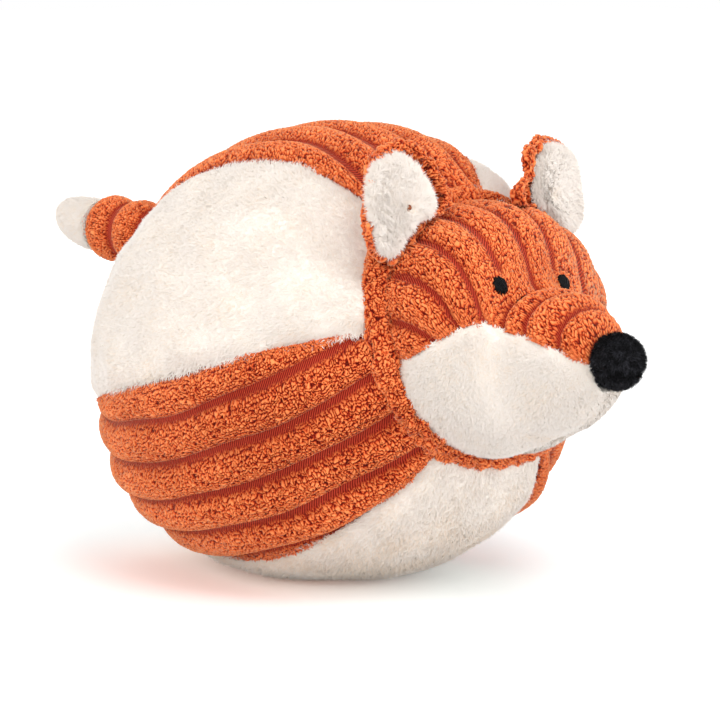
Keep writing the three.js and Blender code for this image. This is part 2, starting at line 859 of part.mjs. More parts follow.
const tailSleeveEnd = tailSleeveLength - tailRootRadius;

// The tail swings about the middle of its rounded root, which touches the top gore's crest
function tailPivot() {
  const polar = Math.PI - THREE.MathUtils.degToRad(tailPolarDegrees);
  const crest = waleHeight - waleValleyDepth;
  const seat = ballPoint(polar, 0, crest);
  const round = goreUp.clone().multiplyScalar(Math.sin(polar) / ballRadius);
  const normal = round.addScaledVector(goreAxis, Math.cos(polar) / ballHalfLength).normalize();
  return seat.addScaledVector(normal, tailRootRadius + seamGap);
}

function tailSurface(along) {
  const fromSeam = tailSleeveEnd - along;
  const wale = tailWaleHeight * waleProfile(fromSeam, walePitch);
  const pinchShare = Math.exp(-((fromSeam / seamPinchReach) ** 2));
  return THREE.MathUtils.lerp(tailRadius - tailWaleHeight + wale, tailPinchRadius, pinchShare);
}

// The hollow inside the tail, narrowed by an offset: [distance from the pivot, radius] from the
// seam back to the root
function tailHollow(offset) {
  const wide = tailRadius - tailWaleHeight - plushThickness - offset;
  const narrow = tailPinchRadius - plushThickness - offset;
  return [[tailSleeveEnd, narrow], [tailSleeveEnd - tailPinchRadius, wide], [offset, wide]];
}

function tailSleeve() {
  const root = spread(tailRootSteps).slice(1).map((share) => {
    const turn = (Math.PI / 2) * share;
    return [-tailRootRadius * Math.cos(turn), tailRootRadius * Math.sin(turn)];
  });
  const body = spread(tailSleeveSteps).slice(1).map((share) => {
    return [tailSleeveEnd * share, tailSurface(tailSleeveEnd * share)];
  });
  return turnedSolid(tailPivot(), tailDirection, [...root, ...body, ...tailHollow(0)], tailSides);
}

function tailTip() {
  const start = tailSleeveEnd + seamGap;
  const outer = spread(tailTipSteps).slice(0, -1).map((share) => {
    const turn = (Math.PI / 2) * share;
    const round = THREE.MathUtils.lerp(tailPinchRadius, tailTipRadius, smoothStep(2 * share));
    return [start + tailTipLength * Math.sin(turn), round * Math.cos(turn) ** tailTipPower];
  });
  const bore = tailPinchRadius - plushThickness;
  const inner = [[start, bore], [start + tailTipLength / 2, bore * tipHollowShare]];
  return turnedSolid(tailPivot(), tailDirection, [...outer.reverse(), ...inner], tailSides);
}

function tailStuffing() {
  const bore = tailPinchRadius - plushThickness;
  const end = tailSleeveEnd + tailTipLength / 2 - stuffingGap;
  const profile = [[end, bore * tipHollowShare - stuffingGap], ...tailHollow(stuffingGap)];
  return turnedSolid(tailPivot(), tailDirection, profile, tailSides);
}

// The assembly

function mesh(name, geometry, color) {
  const facets = geometry.toNonIndexed();
  facets.computeVertexNormals();
  const material = new THREE.MeshStandardMaterial({ color, roughness: clothRoughness, metalness: 0 });
  const result = new THREE.Mesh(facets, material);
  result.name = name;
  return result;
}

// The flat that the ball rests on is pressed into the bottom gore
function flattened(geometry) {
  const block = new THREE.BoxGeometry(4 * ballRadius, 4 * ballRadius, ballRadius);
  block.translate(0, 0, -restingHeight - ballRadius / 2);
  block.deleteAttribute('normal');
  block.deleteAttribute('uv');
  return cutBy(geometry, [mergeVertices(block)]);
}

const ball = new THREE.Group();
ball.add(
  mesh('gore_top_orange', cordGore(0, 0), orangeCord),
  mesh('gore_right_upper_cream', creamGore(-goreSpan), creamPlush),
  mesh('gore_right_lower_orange', cordGore(-2 * goreSpan, lowerWaleShift), orangeCord),
  mesh('gore_bottom_cream', flattened(creamGore(Math.PI)), creamPlush),
  mesh('gore_left_lower_orange', cordGore(2 * goreSpan, -lowerWaleShift), orangeCord),
  mesh('gore_left_upper_cream', creamGore(goreSpan), creamPlush),
  mesh('ball_stuffing', ballStuffing(), stuffingWhite),
);

const head = new THREE.Group();
head.add(
  mesh('neck_band', neckBand(), orangeCord),
  mesh('head_crown', headCrown(), orangeCord),
  mesh('snout_top', snoutTop(), orangeCord),
  mesh('cheek_right', cheek(-1), creamPlush),
  mesh('cheek_left', cheek(1), creamPlush),
  mesh('head_stuffing', headStuffing(), stuffingWhite),
  mesh('nose', nose(), blackPlush),
  mesh('eye_right', eye(-1), blackPlush),
  mesh('eye_left', eye(1), blackPlush),
);

const ears = new THREE.Group();
ears.add(
  mesh('ear_right_back', earBack(-1), orangeCord),
  mesh('ear_right_lining', earLining(-1), creamPlush),
  mesh('ear_left_back', earBack(1), orangeCord),
  mesh('ear_left_lining', earLining(1), creamPlush),
);

const tail = new THREE.Group();
tail.add(
  mesh('tail_sleeve', tailSleeve(), orangeCord),
  mesh('tail_tip', tailTip(), creamPlush),
  mesh('tail_stuffing', tailStuffing(), stuffingWhite),
);

const fox = new THREE.Group();
fox.position.z = restingHeight;
fox.add(ball, head, ears, tail);

export default fox;
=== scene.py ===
import math
from math import pi

import bpy
import numpy as np
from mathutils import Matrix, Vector


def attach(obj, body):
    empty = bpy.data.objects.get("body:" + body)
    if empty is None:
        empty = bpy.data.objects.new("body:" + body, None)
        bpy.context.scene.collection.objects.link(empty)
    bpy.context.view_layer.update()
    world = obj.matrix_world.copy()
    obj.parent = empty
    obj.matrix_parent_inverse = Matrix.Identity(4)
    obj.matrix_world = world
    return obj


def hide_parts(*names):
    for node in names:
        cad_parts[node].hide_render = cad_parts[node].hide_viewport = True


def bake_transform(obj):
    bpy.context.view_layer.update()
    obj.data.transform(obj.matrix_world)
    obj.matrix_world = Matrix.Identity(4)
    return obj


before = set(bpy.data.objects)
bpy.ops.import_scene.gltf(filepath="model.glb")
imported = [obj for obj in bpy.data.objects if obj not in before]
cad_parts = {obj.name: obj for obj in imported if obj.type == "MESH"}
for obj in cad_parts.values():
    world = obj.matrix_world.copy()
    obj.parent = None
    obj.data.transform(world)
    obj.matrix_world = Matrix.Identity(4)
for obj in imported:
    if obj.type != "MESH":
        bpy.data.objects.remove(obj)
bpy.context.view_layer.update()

# Sizes of the part, in millimetres, measured from the ball's centre
BALL_RADIUS = 70.0
BALL_HALF_LENGTH = 78.5
BALL_PITCH = math.radians(16)
MERIDIAN_RADIUS = 74
POLE_GAP = 0.012
SAG_LIMIT = 66.0
RESTING_HEIGHT = 65.31
SAG_SHARPNESS = 40
FLAT_DEPTH = 0.7
BELLY_BULGE = 0.045
BELLY_START = 20.0
SEAM_PINCH = 1.3
SEAM_PINCH_REACH = 3.2
WALE_PITCH = 14.0
LOWER_WALE_SHIFT = 2.0
WALE_HEIGHT = 2.7
WALE_VALLEY_DEPTH = 1.3
WALE_FADE_REACH = 11.0
WALE_ROUNDNESS = 0.72
VALLEY_HALF_WIDTH = 1.0
GORE_SPAN = pi / 3
GORE_TWIST = math.radians(6)
GORE_TWIST_POWER = 3
NECK_CREEP = 0.13
NECK_CREEP_REACH = 0.4
NECK_TWIST = 0.15
NECK_DISTANCE = 62.5
HEAD_LENGTH = 49.5
HEAD_HALF_WIDTH = 39.5
HEAD_HALF_HEIGHT = 37.3
HEAD_DROP = 2.6
CROWN_WALE_PITCH = 13.3
CROWN_WALE_HEIGHT = 2.4
CROWN_WALE_SHIFT = 2.2
SNOUT_WALE_HEIGHT = 2.5

GORE_AXIS = np.array([0, -math.cos(BALL_PITCH), math.sin(BALL_PITCH)])
GORE_UP = np.array([0, math.sin(BALL_PITCH), math.cos(BALL_PITCH)])
LEFT = np.array([1.0, 0, 0])
UP = np.array([0, 0, 1.0])
FORWARD = np.array([0, -1.0, 0])

# Cloth: the meshes' steps, the pile's lumps, the skirts under the panels' edges, and the fur
CORD_STEP = 0.26
PILE_STEP = 0.9
PEBBLE_ACROSS, PEBBLE_ALONG = 1.15, 0.9
BOUCLE_HEIGHT = 0.85
GORE_SKIRT, HEAD_SKIRT = 3.0, 2.5
SMALLEST_QUAD = 1e-4
LOWEST_POINT = 0.00002
SEAM_FRINGE = 1.6
TUFT_WIDTH, CREAM_WIDTH = 0.34, 0.26


def smooth(value):
    t = np.clip(value, 0, 1)
    return t * t * (3 - 2 * t)


def bell(value, width):
    return np.exp(-((value / width) ** 2))


def column(first, last, count):
    return np.linspace(first, last, count)[:, None]


def whole(value):
    return np.floor(value).astype(int)


def lengths(vectors, keep=False):
    return np.linalg.norm(vectors, axis=-1, keepdims=keep)


def unit(vectors):
    return vectors / np.maximum(lengths(vectors, True), 1e-12)


# From millimetres about the ball's centre to metres above the floor
def metres(points):
    return (points + [0, 0, RESTING_HEIGHT]) / 1000


# Patterns: fields of random waves of one size, which repeat every PATTERN_SIZE millimetres
CELLS = 1024
PATTERN_SIZE = 245.76


def wave_field(seed, pitch, spread):
    rng = np.random.default_rng(seed)
    noise = rng.standard_normal((CELLS, CELLS))
    waves = np.fft.fftfreq(CELLS, PATTERN_SIZE / CELLS)
    radius = np.hypot(waves[:, None], waves) * pitch
    field = np.fft.ifft2(np.fft.fft2(noise) * bell(radius - 1, spread)).real
    return field / field.std()


def sample(field, x, y):
    u = np.mod(x / PATTERN_SIZE, 1) * CELLS
    v = np.mod(y / PATTERN_SIZE, 1) * CELLS
    i, j = whole(u), whole(v)
    a, b = u - i, v - j
    i0, j0 = i % CELLS, j % CELLS
    i1, j1 = (i + 1) % CELLS, (j + 1) % CELLS
    low = field[i0, j0] * (1 - a) + field[i1, j0] * a
    high = field[i0, j1] * (1 - a) + field[i1, j1] * a
    return low * (1 - b) + high * b


BENDS = wave_field(11, 2.4, 0.4)
CLUMPS = wave_field(12, 3.4, 0.4)
PATCHES = wave_field(13, 22.0, 0.6)
SWELLS = wave_field(14, 42.0, 0.5)


# The ball's form, as in the part's source
def settle(point, offset):
    depth = -point[..., 2]
    share = np.clip((depth - BELLY_START) / (BALL_RADIUS - BELLY_START), 0, 1)
    widen = 1 + BELLY_BULGE * np.sin(pi * share) ** 2
    limit = SAG_LIMIT - FLAT_DEPTH + np.minimum(offset, 0)
    pressed = np.maximum(depth, 0)
    squeeze = (1 + (pressed / limit) ** SAG_SHARPNESS) ** (-1 / SAG_SHARPNESS)
    return np.stack([point[..., 0] * widen, point[..., 1] * widen, point[..., 2] * squeeze], -1)


# How far a roll lies on the ball's upper side, where the head pulls at the gores
def upper_share(roll):
    return smooth((np.cos(roll) - 0.15) / 0.5)


def ball_point(polar, roll, offset):
    roll = roll + GORE_TWIST * ((1 - np.cos(roll)) / 2) ** GORE_TWIST_POWER
    roll = roll - NECK_TWIST * upper_share(roll) * bell(np.maximum(polar - 0.55, 0), 0.4)
    around = (BALL_RADIUS + offset) * np.sin(polar)
    along = (BALL_HALF_LENGTH + offset) * np.cos(polar)
    point = along[..., None] * GORE_AXIS + (around * np.cos(roll))[..., None] * GORE_UP
    point = point + (around * np.sin(roll))[..., None] * LEFT
    return settle(point, offset)


def pinch(distance):
    return SEAM_PINCH * bell(distance, SEAM_PINCH_REACH)


# A wale's height above its woven valley, which lies where across is a multiple of the pitch
def wale(across, pitch, valley=VALLEY_HALF_WIDTH):
    wave = np.abs(np.sin(pi * across / pitch))
    floor = np.sin(pi * valley / pitch)
    return np.clip((wave - floor) / (1 - floor), 0, 1) ** WALE_ROUNDNESS


# The pile's lumps hang ragged over the woven valleys
def covered(crest, pile):
    return smooth(crest * (0.4 + 0.95 * pile) / 0.3)


# Pebbled pile: each lump is the cell of a jittered point, with a narrow gap about it
JITTER_CELLS = 256
JITTER = np.random.default_rng(15).random((3, JITTER_CELLS, JITTER_CELLS))


def boucle(across, along, seed):
    across, along = np.broadcast_arrays(across, along)
    u = (across + 0.3 * sample(BENDS, across + seed, along)) / PEBBLE_ACROSS + seed
    v = (along + 0.3 * sample(BENDS, along, across + seed)) / PEBBLE_ALONG + 1.7 * seed
    first, other = whole(u), whole(v)
    near, second, tall = 9.0, 9.0, 0.0
    for i in (-1, 0, 1):
        for j in (-1, 0, 1):
            cell = (first + i) % JITTER_CELLS, (other + j) % JITTER_CELLS
            du = first + i + 0.15 + 0.70 * JITTER[0][cell] - u
            dv = other + j + 0.28 + 0.44 * JITTER[1][cell] - v
            distance = np.hypot(du, dv)
            closer = distance < near
            second = np.where(closer, near, np.minimum(second, distance))
            tall = np.where(closer, JITTER[2][cell], tall)
            near = np.where(closer, distance, near)
    lump = smooth((second - near) / 0.52) * (1 - 0.34 * near ** 2)
    return np.clip(lump * (0.82 + 0.18 * tall), 0, 1)


def boucle_relief(pile, cover, height=BOUCLE_HEIGHT):
    return height * (pile - 0.6) * (0.1 + 0.9 * cover)


# Sheets: a grid of points with named values at each point
def grid_quads(rows, columns, wrap):
    index = np.arange(rows * columns).reshape(rows, columns)
    right = np.roll(index, -1, 1) if wrap else index[:, 1:]
    here = index if wrap else index[:, :-1]
    return np.stack([here[:-1], here[1:], right[1:], right[:-1]], -1).reshape(-1, 4)


# Each quad's normal, as long as its area
def quad_normals(flat, quads):
    a, b, c, d = (flat[quads[:, k]] for k in range(4))
    return np.cross(c - a, d - b) / 2


def sheet_mesh(name, points, values, wrap=False, skirt=0.0, inside=(0, 0, 0)):
    if skirt:
        for axis in (0, 1):
            ends = (np.take(points, [k], axis) for k in (0, -1))
            first, last = (end + skirt * unit(inside - end) for end in ends)
            points = np.concatenate([first, points, last], axis)
        values = {key: np.pad(value, 1) for key, value in values.items()}
    quads = grid_quads(*points.shape[:2], wrap)
    flat = points.reshape(-1, 3)
    quads = quads[lengths(quad_normals(flat, quads)) > SMALLEST_QUAD]
    if (quad_normals(flat, quads) * (flat[quads[:, 0]] - flat.mean(0))).sum() < 0:
        quads = quads[:, ::-1]
    used, quads = np.unique(quads, return_inverse=True)
    values = {key: value.reshape(-1)[used] for key, value in values.items()}
    return make_mesh(name, flat[used], [quads.reshape(-1, 4)], values)


def sheet_normals(points, wrap=False):
    across = (np.roll(points, -1, 1) - np.roll(points, 1, 1)) / 2 if wrap else np.gradient(points, axis=1)
    normals = np.cross(np.gradient(points, axis=0), across)
    outward = points - points.reshape(-1, 3).mean(0)
    normals = np.where(lengths(normals, True) > 1e-7, unit(normals), unit(outward))
    return normals if (normals * outward).sum() > 0 else -normals


def add_object(name, data):
    thing = bpy.data.objects.new(name, data)
    bpy.context.scene.collection.objects.link(thing)
    return thing


def make_mesh(name, points, faces, values={}, uv=None, normals=None):
    mesh = bpy.data.meshes.new(name)
    loops = np.concatenate([same.reshape(-1) for same in faces])
    totals = np.concatenate([np.full(len(same), same.shape[1]) for same in faces])
    starts = np.concatenate([[0], np.cumsum(totals)[:-1]])
    mesh.vertices.add(len(points))
    placed = metres(points)
    placed[:, 2] = np.maximum(placed[:, 2], LOWEST_POINT)
    mesh.vertices.foreach_set("co", placed.astype(np.float32).reshape(-1))
    mesh.loops.add(len(loops))
    mesh.loops.foreach_set("vertex_index", loops.astype(np.int32))
    mesh.polygons.add(len(totals))
    mesh.polygons.foreach_set("loop_start", starts.astype(np.int32))
    mesh.polygons.foreach_set("use_smooth", np.ones(len(totals), bool))
    mesh.update(calc_edges=True)
    for key, value in values.items():
        attribute = mesh.attributes.new(key, "FLOAT", "POINT")
        attribute.data.foreach_set("value", value.astype(np.float32))
    if uv is not None:
        layer = mesh.uv_layers.new(name="OFBake")
        layer.data.foreach_set("uv", uv.astype(np.float32).reshape(-1))
    if normals is not None:
        mesh.normals_split_custom_set_from_vertices(normals.astype(np.float32))
    return add_object(name, mesh)


# Fur: a bent tapering blade for each tuft, rooted under the sheet that carries it. Its UVs hold
# the tuft's shade and the height on the blade, for the fur's material.
def fur(name, seed, points, normals, comb, count, length, width, lean, shade, wrap=False,
        sink=0.25, curl=0.35, spread=0.5, weight=None, clump=0.0, relief=0.35):
    rng = np.random.default_rng(seed)
    quads, flat = grid_quads(*points.shape[:2], wrap), points.reshape(-1, 3)
    area = lengths(quad_normals(flat, quads))
    if weight is not None:
        area = area * weight.reshape(-1)[quads].mean(1)
    picked = rng.choice(len(quads), count, p=area / area.sum())
    a, b = rng.random((2, count))
    corners = quads[picked]
    share = np.stack([(1 - a) * (1 - b), a * (1 - b), a * b, (1 - a) * b], 1)

    def at(field):
        if not isinstance(field, np.ndarray):
            return np.full((count, 1), field)
        field = field.reshape(len(flat), -1)
        return (field[corners] * share[..., None]).sum(1)

    root, normal = at(points), unit(at(normals))
    flow = at(comb)
    flow = unit(flow - (flow * normal).sum(1, keepdims=True) * normal)
    side = np.cross(normal, flow)
    turn = rng.normal(0, spread, count)[:, None]
    if clump:
        wave = sample(CLUMPS, root[:, 0] + root[:, 2], root[:, 1] + 0.5 * root[:, 2])
        turn = turn + clump * wave[:, None]
    away = flow * np.cos(turn) + side * np.sin(turn)
    size = at(length) * rng.uniform(0.7, 1.2, count)[:, None]
    slope = at(lean) + rng.normal(0, 0.16, count)[:, None]
    first = normal * np.cos(slope) + away * np.sin(slope)
    bent = slope + curl * rng.uniform(0.5, 1.5, count)[:, None]
    twist = rng.normal(0, 0.35, count)[:, None]
    away_tip = away * np.cos(twist) + np.cross(normal, away) * np.sin(twist)
    second = normal * np.cos(bent) + away_tip * np.sin(bent)
    cross = unit(np.cross(first, normal) + 1e-6 + rng.normal(0, 0.11, (count, 3)))
    half = cross * width * rng.uniform(0.75, 1.25, count)[:, None] / 2
    base = root - normal * sink
    middle = base + first * size * 0.5
    tip = middle + second * size * 0.5
    tufts = np.stack([base - half, base + half, middle + half * 0.85, middle - half * 0.85, tip], 1)
    facing = unit(np.cross(tufts[:, 1] - tufts[:, 0], tufts[:, 3] - tufts[:, 0]))
    flipped = (facing * normal).sum(1) < 0
    tufts[flipped] = tufts[flipped][:, [1, 0, 3, 2, 4]]
    facing[flipped] *= -1
    shaded = np.repeat(unit(normal + relief * facing), 5, 0)
    start = np.arange(count)[:, None] * 5
    shades = np.clip(at(shade)[:, 0] + rng.normal(0, 0.13, count), 0.02, 0.98)
    blade = np.repeat(shades[:, None], 4, 1)
    uv = [np.stack([blade[:, :len(high)], np.tile(high, (count, 1))], -1).reshape(-1, 2)
          for high in ([0.02, 0.02, 0.5, 0.5], [0.5, 0.5, 0.98])]
    faces = [start + [0, 1, 2, 3], start + [3, 2, 4]]
    return make_mesh(name, tufts.reshape(-1, 3), faces, {}, np.concatenate(uv), shaded)


# Tubes along lines of points
TUBE_SIDES = 6


def tube(name, lines, radii):
    all_points, all_quads, start = [], [], 0
    roll = np.linspace(0, 2 * pi, TUBE_SIDES, endpoint=False)
    for line, radius in zip(lines, radii):
        tangent = unit(np.gradient(line, axis=0))
        first = unit(np.cross(tangent, [0.3, 0.9, 0.31]))
        second = np.cross(tangent, first)
        ring = np.cos(roll)[:, None] * first[:, None] + np.sin(roll)[:, None] * second[:, None]
        all_quads.append(start + grid_quads(len(line), TUBE_SIDES, True))
        all_points.append((line[:, None] + ring * radius).reshape(-1, 3))
        start += len(line) * TUBE_SIDES
    return make_mesh(name, np.concatenate(all_points), all_quads)


# Materials. A socket takes a number, a colour or place as a tuple, or another node's output.
def feed(tree, node, inputs):
    for key, value in dict(inputs).items():
        socket = node.inputs[key]
        if isinstance(value, (int, float)):
            socket.default_value = value
        elif isinstance(value, tuple):
            socket.default_value = (*value, 1)[:len(socket.default_value)]
        else:
            tree.links.new(value, socket)


def make_node(tree, kind, inputs=(), **settings):
    node = tree.nodes.new("ShaderNode" + kind)
    for key, value in settings.items():
        setattr(node, key, value)
    feed(tree, node, inputs)
    return node


def attribute(tree, name):
    return make_node(tree, "Attribute", attribute_name=name).outputs["Fac"]


def ramp(tree, factor, stops):
    node = make_node(tree, "ValToRGB", {"Fac": factor})
    while len(node.color_ramp.elements) < len(stops):
        node.color_ramp.elements.new(0.5)
    for element, (place, colour) in zip(node.color_ramp.elements, stops):
        element.position = place
        element.color = (*colour, 1)
    return node.outputs["Color"]


def mix(tree, factor, first, second, kind="MIX"):
    inputs = {"Factor": factor, "A": first, "B": second}
    return make_node(tree, "Mix", inputs, data_type="RGBA", blend_type=kind).outputs["Result"]


def math_node(tree, kind, *values):
    return make_node(tree, "Math", enumerate(values), operation=kind).outputs["Value"]


def noise(tree, scale, detail):
    where = make_node(tree, "TexCoord").outputs["Object"]
    return make_node(tree, "TexNoise", {"Scale": scale, "Detail": detail, "Vector": where}).outputs["Fac"]


def bump(tree, height, strength, depth):
    inputs = {"Strength": strength, "Distance": depth, "Height": height}
    return make_node(tree, "Bump", inputs).outputs["Normal"]


def node_material(name, inputs):
    material = bpy.data.materials.new(name)
    material.use_nodes = True
    tree = material.node_tree
    shader = tree.nodes["Principled BSDF"]
    feed(tree, shader, {"Roughness": 0.95, "Specular IOR Level": 0.12, **inputs})
    return material, tree, shader


# Cord colours by pile height: the yarn's orange, darkened towards the gaps and low pile between the lumps as
# painted shade
CORD_GAP_SHADE = (0.10, 0.005, 0.002)
CORD_LOW = (0.37, 0.020, 0.006)
CORD_MIDDLE = (0.82, 0.136, 0.033)
CORD_TIP = (0.98, 0.30, 0.098)
VALLEY_DARK = (0.10, 0.004, 0.002)
VALLEY_LIGHT = (0.58, 0.056, 0.026)
RUNG_PITCH = 0.78


def cord_material():
    material, tree, shader = node_material("orange_boucle_cord", {
        "Sheen Weight": 0.85, "Sheen Roughness": 0.4, "Sheen Tint": (1.0, 0.66, 0.45)})
    grain = noise(tree, 900, 3)
    level = math_node(tree, "ADD", attribute(tree, "pile"),
                      math_node(tree, "MULTIPLY_ADD", grain, 0.16, -0.08))
    # Painted shade: the colour darkens towards the gaps between the pile's lumps
    loops = ramp(tree, level, [(0.05, CORD_GAP_SHADE), (0.26, CORD_LOW), (0.52, CORD_MIDDLE), (0.86, CORD_TIP)])
    # Painted shade: the pile darkens and reddens down the wales' flanks towards the woven valleys
    painted_flank_shade = ramp(tree, attribute(tree, "crest"), [(0.15, (0.66, 0.46, 0.40)), (0.62, (1, 1, 1))])
    loops = mix(tree, 1.0, loops, painted_flank_shade, "MULTIPLY")
    slant = math_node(tree, "MULTIPLY_ADD", attribute(tree, "across"), 0.7, attribute(tree, "along"))
    rung = math_node(tree, "SINE", math_node(tree, "MULTIPLY", slant, 2 * pi / RUNG_PITCH))
    rung = math_node(tree, "MULTIPLY_ADD", rung, 0.5, 0.5)
    woven = mix(tree, rung, VALLEY_DARK, VALLEY_LIGHT)
    colour = mix(tree, attribute(tree, "wale"), woven, loops)
    tint = ramp(tree, noise(tree, 45, 3), [(0.3, (0.86, 0.80, 0.76)), (0.7, (1.06, 1.1, 1.12))])
    colour = mix(tree, 1.0, colour, tint, "MULTIPLY")
    feed(tree, shader, {"Base Color": colour, "Normal": bump(tree, grain, 0.5, 0.0004)})
    return material


def fur_material(name, shaded_roots, middles, tips, shades, sheen=0.3):
    material, tree, shader = node_material(name, {"Sheen Weight": sheen, "Sheen Roughness": 0.5})
    layer = make_node(tree, "UVMap", uv_map="OFBake").outputs["UV"]
    split = make_node(tree, "SeparateXYZ", {"Vector": layer})
    # Each blade darkens from tip to root: painted shade down in the pile
    base = ramp(tree, split.outputs["Y"], [(0.05, shaded_roots), (0.5, middles), (0.95, tips)])
    tint = ramp(tree, split.outputs["X"], shades)
    feed(tree, shader, {"Base Color": mix(tree, 1.0, base, tint, "MULTIPLY")})
    return material


def woven_material(name, dark, light, scale=700, detail=3, start=0.3, strength=0.6, depth=0.0005, inputs={}):
    material, tree, shader = node_material(name, inputs)
    weave = noise(tree, scale, detail)
    colour = ramp(tree, weave, [(start, dark), (0.7, light)])
    feed(tree, shader, {"Base Color": colour, "Normal": bump(tree, weave, strength, depth)})
    return material


CORD = cord_material()
ORANGE_TUFT = fur_material(
    "orange_boucle_tufts", (0.44, 0.041, 0.011), (0.74, 0.140, 0.037), (0.90, 0.265, 0.088),
    [(0.1, (0.72, 0.62, 0.55)), (0.5, (1, 1, 1)), (0.9, (1.08, 1.15, 1.2))])
# The shade ramp's low end gives random tone, and also the painted warm shade on the underside and in the
# ears' pits
CREAM_FUR = fur_material(
    "cream_pile", (0.90, 0.80, 0.70), (0.92, 0.85, 0.785), (0.935, 0.88, 0.825),
    [(0.1, (0.99, 0.90, 0.79)), (0.5, (0.99, 0.98, 0.965)), (0.9, (1.0, 1.0, 1.0))], 0.6)
CREAM_GROUND = woven_material("cream_backing", (0.92, 0.84, 0.75), (0.97, 0.92, 0.85))
# On the black pile the highest shades turn a few blades bright and bluish: painted glints
BLACK_FUR = fur_material(
    "black_pile", (0.001, 0.001, 0.001), (0.004, 0.004, 0.005), (0.016, 0.016, 0.018),
    [(0.1, (0.3, 0.3, 0.3)), (0.5, (0.9, 0.9, 0.9)), (0.85, (5.0, 5.0, 5.2))], 0.02)
BLACK_GROUND = woven_material("black_backing", (0.003, 0.003, 0.004), (0.01, 0.01, 0.012))
THREAD = woven_material("black_satin_thread", (0.001, 0.001, 0.0015), (0.007, 0.007, 0.008), 1600, 2, 0.35,
                        0.4, 0.0002, {"Roughness": 0.4, "Specular IOR Level": 0.1})
KNOT = woven_material("orange_brown_thread", (0.22, 0.06, 0.03), (0.50, 0.17, 0.08))

BALL = ("fox",)


# A seat is the body that a piece rides on, with the ends of a bend after it for a piece over a
# joint; such a piece keeps its transform applied and rides on no body.
def dress(piece, material, seat=BALL):
    piece.data.materials.append(material)
    body, *bend = seat
    if bend:
        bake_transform(piece)
    else:
        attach(piece, body)
    return piece


# A panel in place of the CAD node of its name, which it hides together with any named in hides
def panel(name, points, values, material, fill, seat=BALL, hides=(), **form):
    piece = dress(sheet_mesh("cloth_" + name, points, values, **form), material, seat)
    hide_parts(name, *hides)


# A panel of cord, with the values that its material reads
def cord_panel(name, points, pile, cover, across, along, crest, fill, seat=BALL, tuck=False, **form):
    values = dict(pile=pile, wale=cover, across=across, along=along, crest=crest)
    if tuck:
        points = tucked(points)
        values = {key: np.pad(value, ((TUCK_ROWS, 0), (0, 0)), "edge") for key, value in values.items()}
    panel(name, points, values, CORD, fill, seat, **form)


# Short orange tufts stand out of the pebbled pile, longer where edge is near 1
def orange_tufts(name, seed, points, weight, edge, count, seat=BALL, wrap=False):
    points, weight, edge = (field[::3, ::3] for field in (points, weight, edge))
    comb = np.broadcast_to([0.4, 1.0, -0.6], points.shape)
    tufts = fur("tufts_" + name, seed, points, sheet_normals(points, wrap), comb, count, 0.6 + 0.7 * edge,
                TUFT_WIDTH, 0.5, 0.7 - 0.1 * edge, wrap, sink=0.3, curl=0.5, spread=3.0,
                weight=weight + 0.02, relief=0.5)
    dress(tufts, ORANGE_TUFT, seat)


def seam_tufts(name, seed, points, cover, distance, crowding, count):
    edge = np.exp(-distance / SEAM_FRINGE)
    orange_tufts(name, seed, points, cover * (0.35 + crowding * edge), edge, count)


# A panel of cream plush is a backing sheet and the fur on it
def cream_panel(name, points, fill, seat=BALL, **form):
    panel(name, points, {}, CREAM_GROUND, fill, seat, **form)


def cream_fur(name, seed, points, normals, comb, count, length, lean, shade, seat=BALL, **form):
    tufts = fur("pile_" + name, seed, points, normals, comb, count, length, CREAM_WIDTH, lean, shade, **form)
    dress(tufts, CREAM_FUR, seat)


# Gores
GORE_FUR_COUNT = 64000


def gore_grid(centre, step, cord, shift=0.0):
    start, end = math.acos(NECK_DISTANCE / BALL_HALF_LENGTH), pi - POLE_GAP
    rows = int((end - start) * MERIDIAN_RADIUS / step)
    polar = column(start, end, rows)
    widest = GORE_SPAN / 2 * BALL_RADIUS
    if cord:
        reach = int((widest + abs(shift)) / step) + 1
        line = np.arange(-reach, reach + 1) * step
        around = BALL_RADIUS * np.sin(polar)
        roll = np.clip((line + shift) / around, -GORE_SPAN / 2, GORE_SPAN / 2)
    else:
        columns = int(2 * widest / step)
        roll = np.broadcast_to(np.linspace(-1, 1, columns) * GORE_SPAN / 2, (rows, columns))
    polar = np.broadcast_to(polar, roll.shape)
    around = BALL_RADIUS * np.sin(polar)
    distance = (GORE_SPAN / 2 - np.abs(roll)) * around
    across = roll * around - shift
    along = polar * MERIDIAN_RADIUS
    upper = upper_share(centre + roll)
    creep = np.clip(1 - (polar - start) / NECK_CREEP_REACH, 0, 1) ** 2
    polar = polar - NECK_CREEP * upper * creep
    from_neck = (polar - start + NECK_CREEP * upper) * BALL_RADIUS
    sink = 2.4 * upper * bell(polar - 0.64, 0.22) + 1.6 * bell(from_neck, 2.0)
    return polar, roll, across, along, distance, from_neck, sink


def cord_gore(name, centre, shift, seed, droop=0.0):
    polar, roll, across, along, distance, from_neck, sink = gore_grid(centre, CORD_STEP, True, shift)
    warped = across + 0.35 * sample(SWELLS, along + seed, across)
    valley = VALLEY_HALF_WIDTH - 0.6 * smooth((along - 85) / 70)
    crest = wale(warped + WALE_PITCH / 2, WALE_PITCH, valley)
    pile = boucle(across, along, seed)
    fade = smooth(0.15 + from_neck / (0.6 * WALE_FADE_REACH))
    cover = 1 - fade * (1 - covered(crest, pile))
    height = fade * (WALE_HEIGHT * crest - WALE_VALLEY_DEPTH) - pinch(distance) - sink
    height = height + boucle_relief(pile, cover)
    lean = droop * (crest - 0.5) * smooth(distance / 4) * fade / (BALL_RADIUS * np.sin(polar))
    points = ball_point(polar, centre + roll + lean, height)
    crest = 1 - fade * (1 - crest)
    cord_panel(name, points, pile, cover, across, along, crest, 0.9, skirt=GORE_SKIRT)
    seam_tufts(name, seed, points, cover, distance, 4, 15000)


